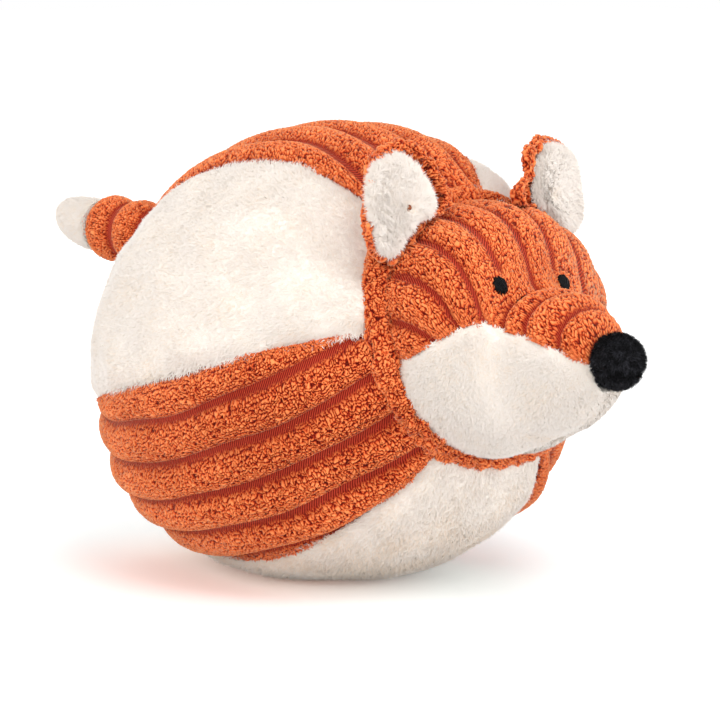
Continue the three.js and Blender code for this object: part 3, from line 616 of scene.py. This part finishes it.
def cream_gore(name, centre, seed, calm=1.0, fringe=1.2):
    polar, roll, across, along, distance, _, sink = gore_grid(centre, PILE_STEP, False)
    swell = calm * (0.5 * sample(SWELLS, along + seed, across) + 0.25 * sample(PATCHES, along, across + seed))
    points = ball_point(polar, centre + roll, swell * smooth(distance / 6) - pinch(distance) - sink)
    cream_panel(name, points, 0.9, skirt=GORE_SKIRT)
    backward = np.gradient(points, axis=0)
    sideways = np.gradient(points, axis=1) * np.sign(roll)[..., None]
    edge = np.exp(-distance / SEAM_FRINGE)
    comb = unit(backward) * (1 - edge[..., None]) + unit(sideways) * 1.6 * edge[..., None]
    length = 1.9 + fringe * edge + 0.2 * sample(PATCHES, across, along + seed)
    shade = 0.6 + 0.08 * sample(PATCHES, along + 2 * seed, across) + 0.05 * sample(CLUMPS, along, across)
    # Painted warm shade: the fur turns darker and warmer towards the bottom, by the low end of the cream
    # shade ramp
    shade = shade - 0.35 * smooth((-points[..., 2] - 25) / 35)
    lean = 0.95 + 0.1 * edge
    cream_fur(name, seed, points, sheet_normals(points), comb, GORE_FUR_COUNT, length, lean, shade,
              spread=0.55, clump=0.25, weight=1 + 1.5 * edge)


cord_gore("gore_top_orange", 0.0, 0.0, 3)
cord_gore("gore_right_lower_orange", -2 * GORE_SPAN, LOWER_WALE_SHIFT, 17, -1.1)
cord_gore("gore_left_lower_orange", 2 * GORE_SPAN, -LOWER_WALE_SHIFT, 29, 1.1)
cream_gore("gore_right_upper_cream", -GORE_SPAN, 5)
cream_gore("gore_left_upper_cream", GORE_SPAN, 6)
cream_gore("gore_bottom_cream", pi, 7, 0.35, 0.3)


# Curves through points, with centripetal spacing
def curve_through(points, share, closed=False):
    points = np.asarray(points, float)
    count = len(points)
    place = (count if closed else count - 1) * np.asarray(share, float)
    first = np.clip(whole(place), 0, count - 1 if closed else count - 2)
    t = (place - first)[..., None]
    if closed:
        p0, p1, p2, p3 = (points[(first + k) % count] for k in (-1, 0, 1, 2))
    else:
        padded = np.concatenate([[2 * points[0] - points[1]], points, [2 * points[-1] - points[-2]]])
        p0, p1, p2, p3 = (padded[first + k] for k in (0, 1, 2, 3))
    d0, d1, d2 = (lengths(b - a, True) ** 0.5 for a, b in ((p0, p1), (p1, p2), (p2, p3)))
    m1 = ((p1 - p0) / d0 - (p2 - p0) / (d0 + d1) + (p2 - p1) / d1) * d1
    m2 = ((p2 - p1) / d1 - (p3 - p1) / (d1 + d2) + (p3 - p2) / d2) * d1
    c2 = -3 * p1 + 3 * p2 - 2 * m1 - m2
    c3 = 2 * p1 - 2 * p2 + m1 + m2
    return p1 + m1 * t + c2 * t * t + c3 * t ** 3


# The head's form, as in the part's source: at each station, shares of its length and half height
# for the top and the foot line, and a share of its half width
HEAD_TABLE = [
    ((-0.016, 0.946), (0.267, -0.947), 1.0), ((0.145, 0.919), (0.347, -0.92), 0.975),
    ((0.277, 0.825), (0.428, -0.877), 0.911), ((0.368, 0.664), (0.489, -0.851), 0.823),
    ((0.414, 0.503), (0.549, -0.819), 0.722), ((0.448, 0.396), (0.6, -0.786), 0.633),
    ((0.529, 0.334), (0.651, -0.752), 0.557), ((0.63, 0.329), (0.711, -0.711), 0.494),
    ((0.731, 0.302), (0.782, -0.663), 0.43), ((0.832, 0.249), (0.853, -0.596), 0.367),
    ((0.913, 0.155), (0.933, -0.508), 0.291), ((0.984, 0.034), (1.004, -0.408), 0.203),
]
NECK_WIDTH = 0.975
SIDE_SEAM = [100, 97, 93, 88, 78.5, 66.5, 59, 60.5, 65.5, 70.5, 75.5, 80, 84]
STATIONS = len(HEAD_TABLE)
SECTION_POWER = 0.87
CREASE_SIDE, CREASE_MIDDLE = 5.8, 6.9
SNOUT_VALLEYS = [CREASE_SIDE - 0.7, 6.6, 7.9, 9.9, 12.0]
EYE_SPOTS = {-1: (14.6, 0.442 * STATIONS), 1: (11.3, 0.4875 * STATIONS)}
EYE_PRESS_REACH = 5.0
STATION_LENGTH = HEAD_LENGTH / STATIONS
NECK_CENTRE = GORE_AXIS * NECK_DISTANCE - GORE_UP * HEAD_DROP


def profile(which, side):
    first = NECK_CENTRE + GORE_UP * side * HEAD_HALF_HEIGHT
    rest = [NECK_CENTRE + FORWARD * s[which][0] * HEAD_LENGTH + UP * s[which][1] * HEAD_HALF_HEIGHT
            for s in HEAD_TABLE]
    return [first, *rest]


HEAD_TOP, HEAD_FOOT = profile(0, 1), profile(1, -1)
HEAD_WIDTHS = [[share * HEAD_HALF_WIDTH] for share in (NECK_WIDTH, *(s[2] for s in HEAD_TABLE))]
SEAM_ANGLES = [[math.radians(d)] for d in SIDE_SEAM]


def head_section(station):
    share = station / STATIONS
    top, foot = curve_through(HEAD_TOP, share), curve_through(HEAD_FOOT, share)
    centre = (top + foot) / 2
    return centre, top - centre, curve_through(HEAD_WIDTHS, share)


def head_point(station, angle, offset=0.0):
    station, angle = np.broadcast_arrays(station, angle)
    centre, rise, half = head_section(station)
    c, s = (np.sign(x) * np.abs(x) ** SECTION_POWER for x in (np.cos(angle), np.sin(angle)))
    arm = rise * c[..., None] + LEFT * half * s[..., None]
    reach = lengths(arm, True)
    return centre + arm * (reach + np.asarray(offset)[..., None]) / reach


def side_seam(station):
    return curve_through(SEAM_ANGLES, station / STATIONS)[..., 0]


# Angles at shares of the arc from the top to the side seam, read from a table
ARC_STATIONS, ARC_STEPS = 241, 96


def arc_tables():
    stations, shares = np.linspace(0, STATIONS, ARC_STATIONS), np.linspace(0, 1, ARC_STEPS + 1)
    angles = side_seam(stations[:, None]) * shares
    steps = lengths(np.diff(head_point(stations[:, None], angles), axis=1))
    arcs = np.pad(np.cumsum(steps, 1), ((0, 0), (1, 0)))
    return stations, arcs[:, -1], np.array([np.interp(shares, row / row[-1], shares) for row in arcs])


TABLE_STATIONS, ARC_TOTAL, ANGLE_AT = arc_tables()


def seam_arc(station):
    return np.interp(station, TABLE_STATIONS, ARC_TOTAL)


def angle_at(station, share):
    row = np.clip(station / STATIONS * (ARC_STATIONS - 1), 0, ARC_STATIONS - 1.001)
    column = np.clip(np.abs(share) * ARC_STEPS, 0, ARC_STEPS - 0.001)
    i, j = whole(row), whole(column)
    a, b = row - i, column - j
    value = (ANGLE_AT[i, j] * (1 - a) * (1 - b) + ANGLE_AT[i + 1, j] * a * (1 - b)
             + ANGLE_AT[i, j + 1] * (1 - a) * b + ANGLE_AT[i + 1, j + 1] * a * b)
    return np.sign(share) * side_seam(station) * value


def crease(share):
    return CREASE_SIDE + (CREASE_MIDDLE - CREASE_SIDE) * np.cos(pi / 2 * share)


def eye_angle(side):
    across, station = EYE_SPOTS[side]
    half = float(head_section(station)[2][0])
    return side * math.asin((across / half) ** (1 / SECTION_POWER))


EYE_PLACES = [head_point(EYE_SPOTS[side][1], eye_angle(side)) for side in (-1, 1)]


# The crown's wales are pressed flat where the eyes are stitched
def eye_press(points):
    near = np.minimum(*(lengths(points - place) for place in EYE_PLACES))
    return 1 - np.exp(-((near / EYE_PRESS_REACH) ** 4))


# The muzzle's end is drawn in under the nose
def nose_end(station):
    return 1.5 * bell((STATIONS - station) * STATION_LENGTH, 3.0)


# The head's rear rim is drawn in towards the ball by the stitching
TUCK_ROWS, TUCK_DEPTH, TUCK_IN = 12, 5.0, 2.2


def off_axis(points):
    away = points - NECK_CENTRE
    return unit(away - (away @ GORE_AXIS)[..., None] * GORE_AXIS)


def tucked(points):
    share = np.linspace(1, 1 / TUCK_ROWS, TUCK_ROWS)[:, None, None]
    rows = points[:1] - GORE_AXIS * TUCK_DEPTH * share - off_axis(points[:1]) * TUCK_IN * share ** 2
    return np.concatenate([rows, points])


def head_crown():
    row_share = column(0, 1, int(62 / CORD_STEP))
    base = row_share * CREASE_SIDE
    base_arc = seam_arc(base)
    reach = int(float(base_arc.max()) / CORD_STEP) + 1
    line = np.arange(-reach, reach + 1) * CORD_STEP
    share = np.clip(line / base_arc, -1, 1)
    station = base + row_share ** 3 * (crease(share) - CREASE_SIDE)
    angle = angle_at(station, share)
    across = share * base_arc
    along = station * STATION_LENGTH * 1.35
    distance = (1 - np.abs(share)) * base_arc
    warped = across + 0.3 * sample(SWELLS, along, across) + CROWN_WALE_SHIFT
    crest = wale(warped, CROWN_WALE_PITCH, 0.7)
    pile = boucle(across, along, 41.0)
    fade = smooth(0.25 + station * STATION_LENGTH / WALE_FADE_REACH * 1.6)
    fade = fade * eye_press(head_point(station, angle))
    cover = 1 - fade * (1 - covered(crest, pile))
    front = (crease(share) - station) * STATION_LENGTH
    height = fade * CROWN_WALE_HEIGHT * (crest - 0.5) - pinch(distance) - 0.9 * bell(front, 1.6)
    points = head_point(station, angle, height + boucle_relief(pile, cover))
    crest = 1 - fade * (1 - crest)
    cord_panel("head_crown", points, pile, cover, across, along, crest, 0.8, tuck=True, skirt=HEAD_SKIRT,
               inside=NECK_CENTRE)
    seam_tufts("head_crown", 42, points, cover, distance, 3, 8000)


def snout_top():
    rows, columns = int(34 / CORD_STEP), int(44 / CORD_STEP)
    row_share = column(0, 1, rows)
    across_share = np.linspace(-1, 1, columns)
    start = crease(across_share)
    station = start + (STATIONS - start) * row_share
    across_share = np.broadcast_to(across_share, station.shape)
    angle = angle_at(station, across_share)
    arc = seam_arc(station)
    distance = (1 - np.abs(across_share)) * arc
    height, crest = 0.0, 0.0
    for low, high in zip(SNOUT_VALLEYS, SNOUT_VALLEYS[1:]):
        inside = (station >= low) & (station <= high + 1e-9)
        share = np.clip((station - low) / (high - low), 0, 1)
        rise = wale(share, 1, 0.3 / STATION_LENGTH / (high - low))
        height = np.where(inside, SNOUT_WALE_HEIGHT * (rise - 0.6), height)
        crest = np.where(inside, rise, crest)
    across, along = across_share * arc, station * STATION_LENGTH
    pile = boucle(along, across, 53.0)
    cover = covered(crest, pile)
    height = height - pinch(distance) - nose_end(station) + boucle_relief(pile, cover)
    points = head_point(station, angle, height)
    cord_panel("snout_top", points, pile, cover, along, across, crest, 0.8, skirt=HEAD_SKIRT,
               inside=NECK_CENTRE)
    seam_tufts("snout_top", 54, points, cover, distance, 3, 3500)


CHEEK_FUR_COUNT = 40000


def cheek(side, name, seed):
    rows, columns = 60, 70
    station = np.broadcast_to(STATIONS * column(0, 1, rows), (rows, columns))
    start = side_seam(station)
    share = np.linspace(0, 1, columns)
    angle = start + (pi - start) * share
    rise = lengths(head_section(station)[1])
    distance = (pi - start) * np.minimum(share, 1 - share) * rise
    distance = np.where(share < 0.5, distance, distance * 1.5)
    plump = 0.4 * sample(PATCHES, station * 4 + seed, angle * 20)
    seam = pinch(distance) * np.where(share < 0.5, 0.8, 0.15)
    points = head_point(station, side * angle, plump * smooth(distance / 6) - seam - nose_end(station))
    cream_panel(name, tucked(points), 0.8, skirt=HEAD_SKIRT, inside=NECK_CENTRE + 22 * FORWARD)
    forward, sideways = np.gradient(points, axis=0), np.gradient(points, axis=1)
    upper = np.exp(-((angle - start) * rise) / 1.8)
    bend = bell(station - 6.3, 1.3)
    back = (0.55 - 0.4 * bend)[..., None]
    comb = unit(sideways) * (0.5 - 1.3 * upper[..., None]) - back * unit(forward)
    shade = (0.60 + 0.08 * sample(PATCHES, station * 5, angle * 18 + seed)
             + 0.06 * sample(CLUMPS, station * 4, angle * 19))
    rear = np.exp(-station * STATION_LENGTH / 2.0)
    length = (1.6 - 0.2 * upper + 1.2 * rear) * (1 - 0.45 * smooth((station - 11.2) / 0.8))
    lean = 0.7 + 0.3 * np.maximum(upper, rear) + 0.35 * bend
    cream_fur(name, seed, points, sheet_normals(points), comb, CHEEK_FUR_COUNT, length, lean, shade,
              spread=0.9, clump=0.3)


head_crown()
snout_top()
cheek(-1, "cheek_right", 21)
cheek(1, "cheek_left", 22)


# The band round the neck: a roll of cord squeezed between the ball and the head
def neck_band():
    rows, columns = int(250 / CORD_STEP), int(20 / CORD_STEP)
    angle = column(0, 2 * pi, rows)
    turn = np.linspace(-2.5, 2.5, columns)
    end = np.where(np.cos(angle) > 0, 3.0, 2.7)
    round_ = 4.0 + (end - 4.0) * np.cos(angle) ** 2
    middle = head_point(0, angle, round_ * 0.35) - 0.8 * GORE_AXIS
    away = off_axis(middle)
    along, across = np.broadcast_to(angle * 40.0, (rows, columns)), turn * round_
    pile = boucle(across, along, 67.0)
    pile[-1] = pile[0]
    open_ = smooth(np.minimum(angle, 2 * pi - angle) / 0.9)
    low = smooth((-np.cos(angle) - 0.2) / 0.5)
    swell = (0.35 * np.sin(angle * 7 + 1) * np.sin(angle * 3)
             + (0.25 + 0.3 * low) * sample(CLUMPS, along * 0.7, across * 0.7)) * open_
    reach = round_ * (0.92 + 0.12 * open_) + swell + BOUCLE_HEIGHT * (pile - 0.5)
    points = middle + away * (reach * np.cos(turn))[..., None] + GORE_AXIS * (reach * np.sin(turn))[..., None]
    cover = np.ones(reach.shape)
    cord_panel("neck_band", points, pile, cover, across, along, cover, 0.5)
    orange_tufts("neck_band", 68, points, cover * (1 + 2 * low), cover * (0.3 + 0.7 * low), 6000)


neck_band()


# Bodies turned about an axis, from places along it and radii, with the roll from the top
def turned(base, axis, along, radius, columns):
    across = unit(np.cross(axis, UP))
    upper = np.cross(across, axis)
    roll = np.linspace(0, 2 * pi, columns, endpoint=False)
    ring = np.cos(roll)[..., None] * upper + np.sin(roll)[..., None] * across
    return base + along[..., None] * axis + ring * radius[..., None], roll


# Nose: a plush ball with a puckered seam low on its front
NOSE_CENTRE = np.array([0, -113.2, 9.9])
NOSE_RADIUS = 7.3


def nose():
    axis = unit(np.array([0, -1.0, -0.12]))
    rows, columns = 68, 72
    lean = column(0.02, 2.9, rows)
    size = NOSE_RADIUS * np.ones(columns)
    base, roll = turned(NOSE_CENTRE, axis, np.cos(lean) * size, np.sin(lean) * size, columns)
    off = unit(base - NOSE_CENTRE)
    crease = bell(off @ UP + 0.36, 0.11) * smooth((off @ axis - 0.1) / 0.5)
    points = base - off * (1.1 * crease)[..., None]
    panel("nose", points, {}, BLACK_GROUND, 0.9, wrap=True)
    comb = np.broadcast_to(-UP + 0.4 * axis, points.shape)
    # Fur darker along the crease as painted shade, and bright where the clumps run high as painted glints
    shade = 0.5 + 0.16 * sample(CLUMPS, roll * 8, lean * 8) - 0.35 * crease
    tufts = fur("pile_nose", 31, points, unit(off), comb, 14000, 2.0, 0.22, 0.75, shade, True, spread=1.0,
                relief=1.6, clump=0.6)
    dress(tufts, BLACK_FUR)


nose()


# Eyes: satin stitch, a row of threads side by side that dip into the cloth at both ends, and a
# few that slant across them
THREADS, CROSS_THREADS = 17, 7


def eye(side, name):
    station, angle = EYE_SPOTS[side][1], eye_angle(side)
    seat = head_point(station, angle, 0.1)
    step = 0.05
    along = head_point(station + step, angle) - head_point(station - step, angle)
    around = head_point(station, angle + step) - head_point(station, angle - step)
    normal = unit(np.cross(around, along))
    if normal @ FORWARD < 0:
        normal = -normal
    across = unit(LEFT * side - (LEFT * side @ normal) * normal)
    tall = np.cross(normal, across) * side
    rng = np.random.default_rng(61 + side)
    lines, sizes = [], []

    def stitch(sideways, upward, outward, size):
        lines.append(seat + across * sideways[:, None] + tall * upward[:, None] + normal * outward[:, None])
        sizes.append(size)

    t = np.linspace(-1, 1, 13)
    for k in range(THREADS):
        u = (k + 0.5) / THREADS * 2 - 1
        half = 2.55 * (1 - abs(u) ** 3) ** 0.5 * (1 - 0.08 * u) + rng.uniform(-0.3, 0.3)
        sway = rng.uniform(-0.1, 0.1)
        dome = 0.75 * (1 - t ** 4) * (1 - 0.4 * u * u) - 0.5 * (np.abs(t) > 0.97) + rng.uniform(-0.06, 0.06)
        stitch(2.3 * u + sway * t + 0.12 * half * t, t * half, dome, 0.19 + rng.uniform(-0.02, 0.03))
    t = np.linspace(-1, 1, 9)
    for k in range(CROSS_THREADS):
        u = rng.uniform(-0.8, 0.8)
        stitch(1.7 * u + 0.9 * t, 1.7 * t * (1 - abs(u) * 0.4), 0.98 - 0.6 * t ** 4 - 0.35 * u * u, 0.13)
    piece = tube("stitch_" + name, lines, sizes)
    dress(piece, THREAD)
    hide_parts(name)


eye(-1, "eye_right")
eye(1, "eye_left")

# Ears: outline in millimetres outward and up from the foot's middle, from the foot's inner end
# round. A lining is drawn in towards a point, to shares of the ear's width and height. A lump is
# a place near the outline, a height and a reach.
EAR_FOOT = np.array([29.02, -60.93, 42.32])
EAR_TURN = math.radians(9.02)
EAR_OUTLINE = [
    (-6.3, 5.6), (-2.1, 1.9), (2.1, -1.9), (6.3, -5.6), (11.6, -2.6), (14.6, 3.3), (14.4, 12.0),
    (12.4, 20.4), (7.5, 24.3), (1.6, 25.6), (-4.8, 23.6), (-10.6, 17.9), (-13.2, 12.5), (-12.6, 8.2)]
EAR_MIDDLE = np.array([0.55, 9.6])
EAR_LININGS = {-1: [(11.5, 8.5), (0.73, 0.84)], 1: [(11.5, 10.0), (0.82, 0.82)]}
EAR_LUMPS = {
    -1: [((14.6, 2.5), 1.5, 4.5), ((1.6, 25.6), 1.5, 7.0), ((13.0, 19.0), -0.8, 3.0),
         ((-12.5, 14.0), -1.0, 5.0)],
    1: [((-13.0, 9.5), 4.2, 4.2), ((-7.5, 22.0), 2.2, 3.6), ((-12.0, 16.5), -2.0, 2.2)]}
LINING_LUMPS = {
    -1: [((14.6, 1.5), -1.6, 4.5), ((14.2, 14.0), 0.8, 5.0), ((-12.5, 14.0), -1.0, 5.0)],
    1: [((-13.0, 9.5), 0.5, 4.0)]}
EAR_EDGE = 1.7
EAR_LEAN = 0.16
EAR_DIMPLE = np.array([0.9, 8.7])
EAR_COLUMNS = 230
KNOT_LOOPS, KNOT_RADIUS = 6, 0.22


def ear(side, body, seed):
    outward = np.array([side * math.cos(EAR_TURN), math.sin(EAR_TURN), 0])
    front = np.array([side * math.sin(EAR_TURN), -math.cos(EAR_TURN), 0])
    plane = np.stack([outward, UP])
    foot = EAR_FOOT * [side, 1, 1]
    seat = (body, foot - UP, foot + UP * 7.0)
    dense = curve_through(EAR_OUTLINE, np.linspace(0, 1, 800, endpoint=False), True)
    dense = np.concatenate([dense, dense[:1]])
    place = np.concatenate([[0], np.cumsum(lengths(np.diff(dense, axis=0)))])
    wanted = np.linspace(0, place[-1], EAR_COLUMNS, endpoint=False)
    rim = np.stack([np.interp(wanted, place, dense[:, k]) for k in (0, 1)], -1)
    swell = 0.35 * sample(PATCHES, wanted * 2.2, seed * 5.0)

    def lumpy(lumps):
        total = swell + sum(size * bell(lengths(rim - lump), reach) for lump, size, reach in lumps)
        return rim + total[:, None] * unit(rim - EAR_MIDDLE)

    def place_at(reach, depth, middle, part, rim):
        flat = middle + (rim[None] - middle) * reach[:, None, None] * part
        h, v = flat[..., 0], flat[..., 1]
        above = np.abs(h * 0.66 + v * 0.75)
        total = depth + 1.8 * (h / 13.85) ** 2 * smooth(above / 10.9) - EAR_LEAN * above
        return foot + flat @ plane + total[..., None] * front, h, v

    back_share = np.linspace(0.03, 1, 42)
    roll = np.linspace(0, pi, 18)[1:]
    inner = np.linspace(1, 0.55, 30)[1:]
    reach = np.concatenate([back_share, 1 + 0.035 * np.sin(roll), inner])
    depth = np.concatenate([-EAR_EDGE - 1.6 * (1 - back_share ** 2), -EAR_EDGE * np.cos(roll),
                            EAR_EDGE - 1.9 * smooth((0.93 - inner) / 0.2)])[:, None]
    points, h, v = place_at(reach, depth, EAR_MIDDLE, 1.0, lumpy(EAR_LUMPS[side]))
    normals = sheet_normals(points, True)
    if (normals[10] @ front).mean() > 0:
        normals = -normals
    pile = boucle(h + 0.6 * depth, v - 0.4 * depth, 71.0 + seed)
    crest = wale(v - 2.0, 12.5)
    on_back = (depth < -1.0) * np.ones(pile.shape)
    cover = 1 - on_back * (1 - covered(crest, pile))
    height = 1.1 * (crest - 0.6) * on_back + BOUCLE_HEIGHT * 1.2 * (pile - 0.6) * (0.2 + 0.8 * cover)
    height = height + 0.4 * sample(CLUMPS, h * 0.9, v * 0.9) * (1 - on_back)
    points = points + normals * height[..., None]
    crest = 1 - on_back * (1 - crest)
    cord_panel(body + "_back", points, pile, cover, v, h, crest, 0.3, seat, wrap=True)
    orange_tufts(body + "_back", seed, points, cover, 0.35 * (1 - on_back), 5000, seat, True)

    share = np.linspace(0.02, 1, 44)
    form = (*np.array(EAR_LININGS[side]), lumpy(LINING_LUMPS[side]))
    _, h, v = place_at(share, 0, *form)
    radial = np.stack([h, v], -1) - EAR_DIMPLE
    off = lengths(radial)
    pit = 1.9 * bell(off, 1.4) + 0.3 * bell(off, 4.0)
    puff = 1.2 + 1.6 * smooth((1 - share) / 0.1)[:, None] + 0.4 * np.sin(pi * share)[:, None]
    lining = place_at(share, puff - pit, *form)[0]
    normals = sheet_normals(lining, True)
    if (normals[20] @ front).mean() < 0:
        normals = -normals
    cream_panel(body + "_lining", lining, 0.3, seat, wrap=True)
    comb = radial / np.maximum(off, 0.5)[..., None] @ plane
    # Painted shade: the lining's fur darkens into the pit about the dimple
    shade = 0.66 - 0.5 * bell(off, 1.3) + 0.06 * sample(CLUMPS, h * 2, v * 2)
    rim_share = smooth((share[:, None] - 0.6) / 0.35) * np.ones(off.shape)
    cream_fur(body + "_lining", seed, lining, unit(normals + 2 * front + 0.5 * UP), comb, 17000,
              1.8 + 1.0 * rim_share, 0.85 + 0.15 * rim_share, shade, seat, wrap=True, spread=0.6,
              clump=0.6, weight=1 + rim_share, relief=0.15)

    rng = np.random.default_rng(seed)
    centre = foot + EAR_DIMPLE @ plane + (0.1 - EAR_LEAN * 7) * front
    t = column(0, 2 * pi, 15)
    lines = []
    for _ in range(KNOT_LOOPS):
        first, second = unit(outward + 0.8 * rng.normal(0, 1, 3)), unit(UP + 0.8 * rng.normal(0, 1, 3))
        loop = 0.75 * (np.cos(t) * first + np.sin(t) * second)
        lines.append(centre + rng.normal(0, 0.3, 3) + front * 0.9 + loop)
    dress(tube("knot_" + body, lines, [KNOT_RADIUS] * KNOT_LOOPS), KNOT, seat)


ear(-1, "ear_right", 81)
ear(1, "ear_left", 82)

# Tail
TAIL_PIVOT = np.array([0, 81.67, 30.81])
TAIL_AXIS = np.array([0, math.cos(math.radians(3)), math.sin(math.radians(3))])
TAIL_SEAM = 29.2
TAIL_TIP = 20.2
TAIL_RADIUS = 10.6
TAIL_SEAM_RADIUS = 8.2
TAIL_SEAT = ("tail", TAIL_PIVOT - TAIL_AXIS * 9, TAIL_PIVOT + TAIL_AXIS * 6)


def tail():
    columns = int(2 * pi * TAIL_RADIUS / CORD_STEP)
    along = column(-15, TAIL_SEAM, int(44 / CORD_STEP)) * np.ones(columns)
    roll = np.linspace(0, 2 * pi, columns, endpoint=False)
    across = TAIL_SEAM - along
    crest = wale(across + 0.5 * np.sin(roll + 0.8), WALE_PITCH)
    seam = bell(across, 2.6)
    radius = TAIL_RADIUS - 2.2 + 2.2 * crest
    radius = radius * (1 - seam) + TAIL_SEAM_RADIUS * seam
    around = roll * TAIL_RADIUS * np.ones(along.shape)
    pile = boucle(across, around, 91.0)
    cover = np.maximum(covered(crest, pile), smooth(1 - across / 2.5))
    radius = radius + boucle_relief(pile, cover, BOUCLE_HEIGHT * 1.2)
    points, _ = turned(TAIL_PIVOT, TAIL_AXIS, along, radius, columns)
    crest = np.maximum(crest, seam)
    cord_panel("tail_sleeve", points, pile, cover, across, around, crest, 0.8, TAIL_SEAT, wrap=True,
               hides=["tail_stuffing"])
    orange_tufts("tail_sleeve", 92, points, cover, 0.5 * seam, 6000, TAIL_SEAT, True)

    columns = 80
    turn = column(0, pi / 2, 50)
    swell = TAIL_SEAM_RADIUS + 0.2 * smooth(turn * 3)
    radius = swell * np.cos(turn) ** 0.6 * np.ones(columns)
    along = (TAIL_SEAM - 1.4 + (TAIL_TIP + 0.5) * np.sin(turn)) * np.ones(columns)
    points, roll = turned(TAIL_PIVOT, TAIL_AXIS, along, np.maximum(radius, 0.05), columns)
    points = points + UP * (2.0 * np.sin(turn) ** 2)[..., None]
    cream_panel("tail_tip", points, 0.8, TAIL_SEAT[:1], wrap=True)
    near = np.exp(-(along - TAIL_SEAM) / 1.8)
    comb = np.broadcast_to(TAIL_AXIS, points.shape) * (1 - 2.2 * near)[..., None] - 0.3 * UP
    shade = 0.58 + 0.1 * sample(CLUMPS, along, roll * 8)
    cream_fur("tail_tip", 93, points, sheet_normals(points, True), comb, 18000, 2.2, 1.2 - 0.2 * near,
              shade, TAIL_SEAT[:1], wrap=True)


tail()

# All that lies inside the cloth is out of sight
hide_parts("ball_stuffing")
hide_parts("head_stuffing")


def aim(thing, place, direction):
    thing.location = place
    thing.rotation_mode = "QUATERNION"
    thing.rotation_quaternion = direction.to_track_quat("-Z", "Y")


# Camera at the photo's viewing angle, with the photo's size, focal length and middle in pixels
AZIMUTH, ELEVATION, DISTANCE = math.radians(-44), math.radians(8), 0.9
PHOTO, FOCAL_LENGTH, MIDDLE_X, MIDDLE_Y = 720, 2943, 334.4, 355.9
SENSOR_WIDTH = 36
back = Vector((math.sin(AZIMUTH) * math.cos(ELEVATION), -math.cos(AZIMUTH) * math.cos(ELEVATION),
               math.sin(ELEVATION)))
optics = bpy.data.cameras.new("camera")
optics.sensor_width = SENSOR_WIDTH
optics.lens = SENSOR_WIDTH * FOCAL_LENGTH / PHOTO
optics.shift_x = (PHOTO / 2 - MIDDLE_X) / PHOTO
optics.shift_y = (MIDDLE_Y - PHOTO / 2) / PHOTO
optics.clip_start, optics.clip_end = 0.05, 50
camera = add_object("camera", optics)
aim(camera, Vector((0, 0, RESTING_HEIGHT / 1000)) + back * DISTANCE, -back)
bpy.context.scene.camera = camera


# Floor and light. Seen directly, in a mirror or through glass, the world shows a plain light of its own,
# and the floor a glow that is warm near a point beside the ball and rises away from it: painted warm
# shadow and bounce light round the toy's foot.
def direct_look(tree):
    seen = make_node(tree, "LightPath").outputs
    direct = math_node(tree, "MAXIMUM", seen["Is Camera Ray"], seen["Is Glossy Ray"])
    return math_node(tree, "MAXIMUM", direct, seen["Is Transmission Ray"])


def floor_material():
    material, tree, _ = node_material("studio_floor", {})
    tree.nodes.clear()
    where = make_node(tree, "NewGeometry").outputs["Position"]
    reach = make_node(tree, "VectorMath", {0: where, 1: (-0.03, 0.015, 0)}, operation="DISTANCE")
    # Painted warm shadow and bounce: the glow is warm close to the ball's foot and rises to white away from
    # it
    colour = ramp(tree, reach.outputs["Value"], [
        (0.03, (0.29, 0.18, 0.14)), (0.07, (0.25, 0.29, 0.285)), (0.12, (0.29, 0.36, 0.37)),
        (0.24, (0.44, 0.44, 0.44)), (0.7, (0.62, 0.62, 0.62))])
    diffuse = make_node(tree, "BsdfDiffuse", {"Color": (0.94, 0.94, 0.94)}).outputs["BSDF"]
    glow = make_node(tree, "Emission", {"Color": colour, "Strength": direct_look(tree)}).outputs["Emission"]
    both = make_node(tree, "AddShader", {0: diffuse, 1: glow}).outputs["Shader"]
    make_node(tree, "OutputMaterial", {"Surface": both})
    return material


floor_mesh = bpy.data.meshes.new("floor")
floor_mesh.from_pydata([(-6, -6, 0), (6, -6, 0), (6, 6, 0), (-6, 6, 0)], [], [(0, 1, 2, 3)])
floor = add_object("floor", floor_mesh)
floor.data.materials.append(floor_material())

WORLD_LIGHT = 0.64
world = bpy.data.worlds.new("studio")
bpy.context.scene.world = world
world.use_nodes = True
tree = world.node_tree
strength = math_node(tree, "MAXIMUM", direct_look(tree), WORLD_LIGHT)
feed(tree, tree.nodes["Background"], {"Color": (1, 1, 1), "Strength": strength})


for name, place, size, power in (
        ("key", (-0.15, -0.55, 1.05), 0.6, 4.2), ("fill", (-0.95, -0.25, 0.45), 0.7, 3.2),
        ("front", (0.25, -1.15, 0.32), 0.8, 4.8), ("rim", (-0.85, 0.8, 0.5), 0.8, 1.7),
        ("rear", (0.8, 0.9, 0.6), 0.8, 2.2)):
    lamp = bpy.data.lights.new(name, "AREA")
    lamp.shape, lamp.size, lamp.energy = "DISK", size, power
    aim(add_object(name, lamp), place, Vector((0, 0, 0.06)) - Vector(place))

bpy.context.scene.view_settings.view_transform = "Standard"
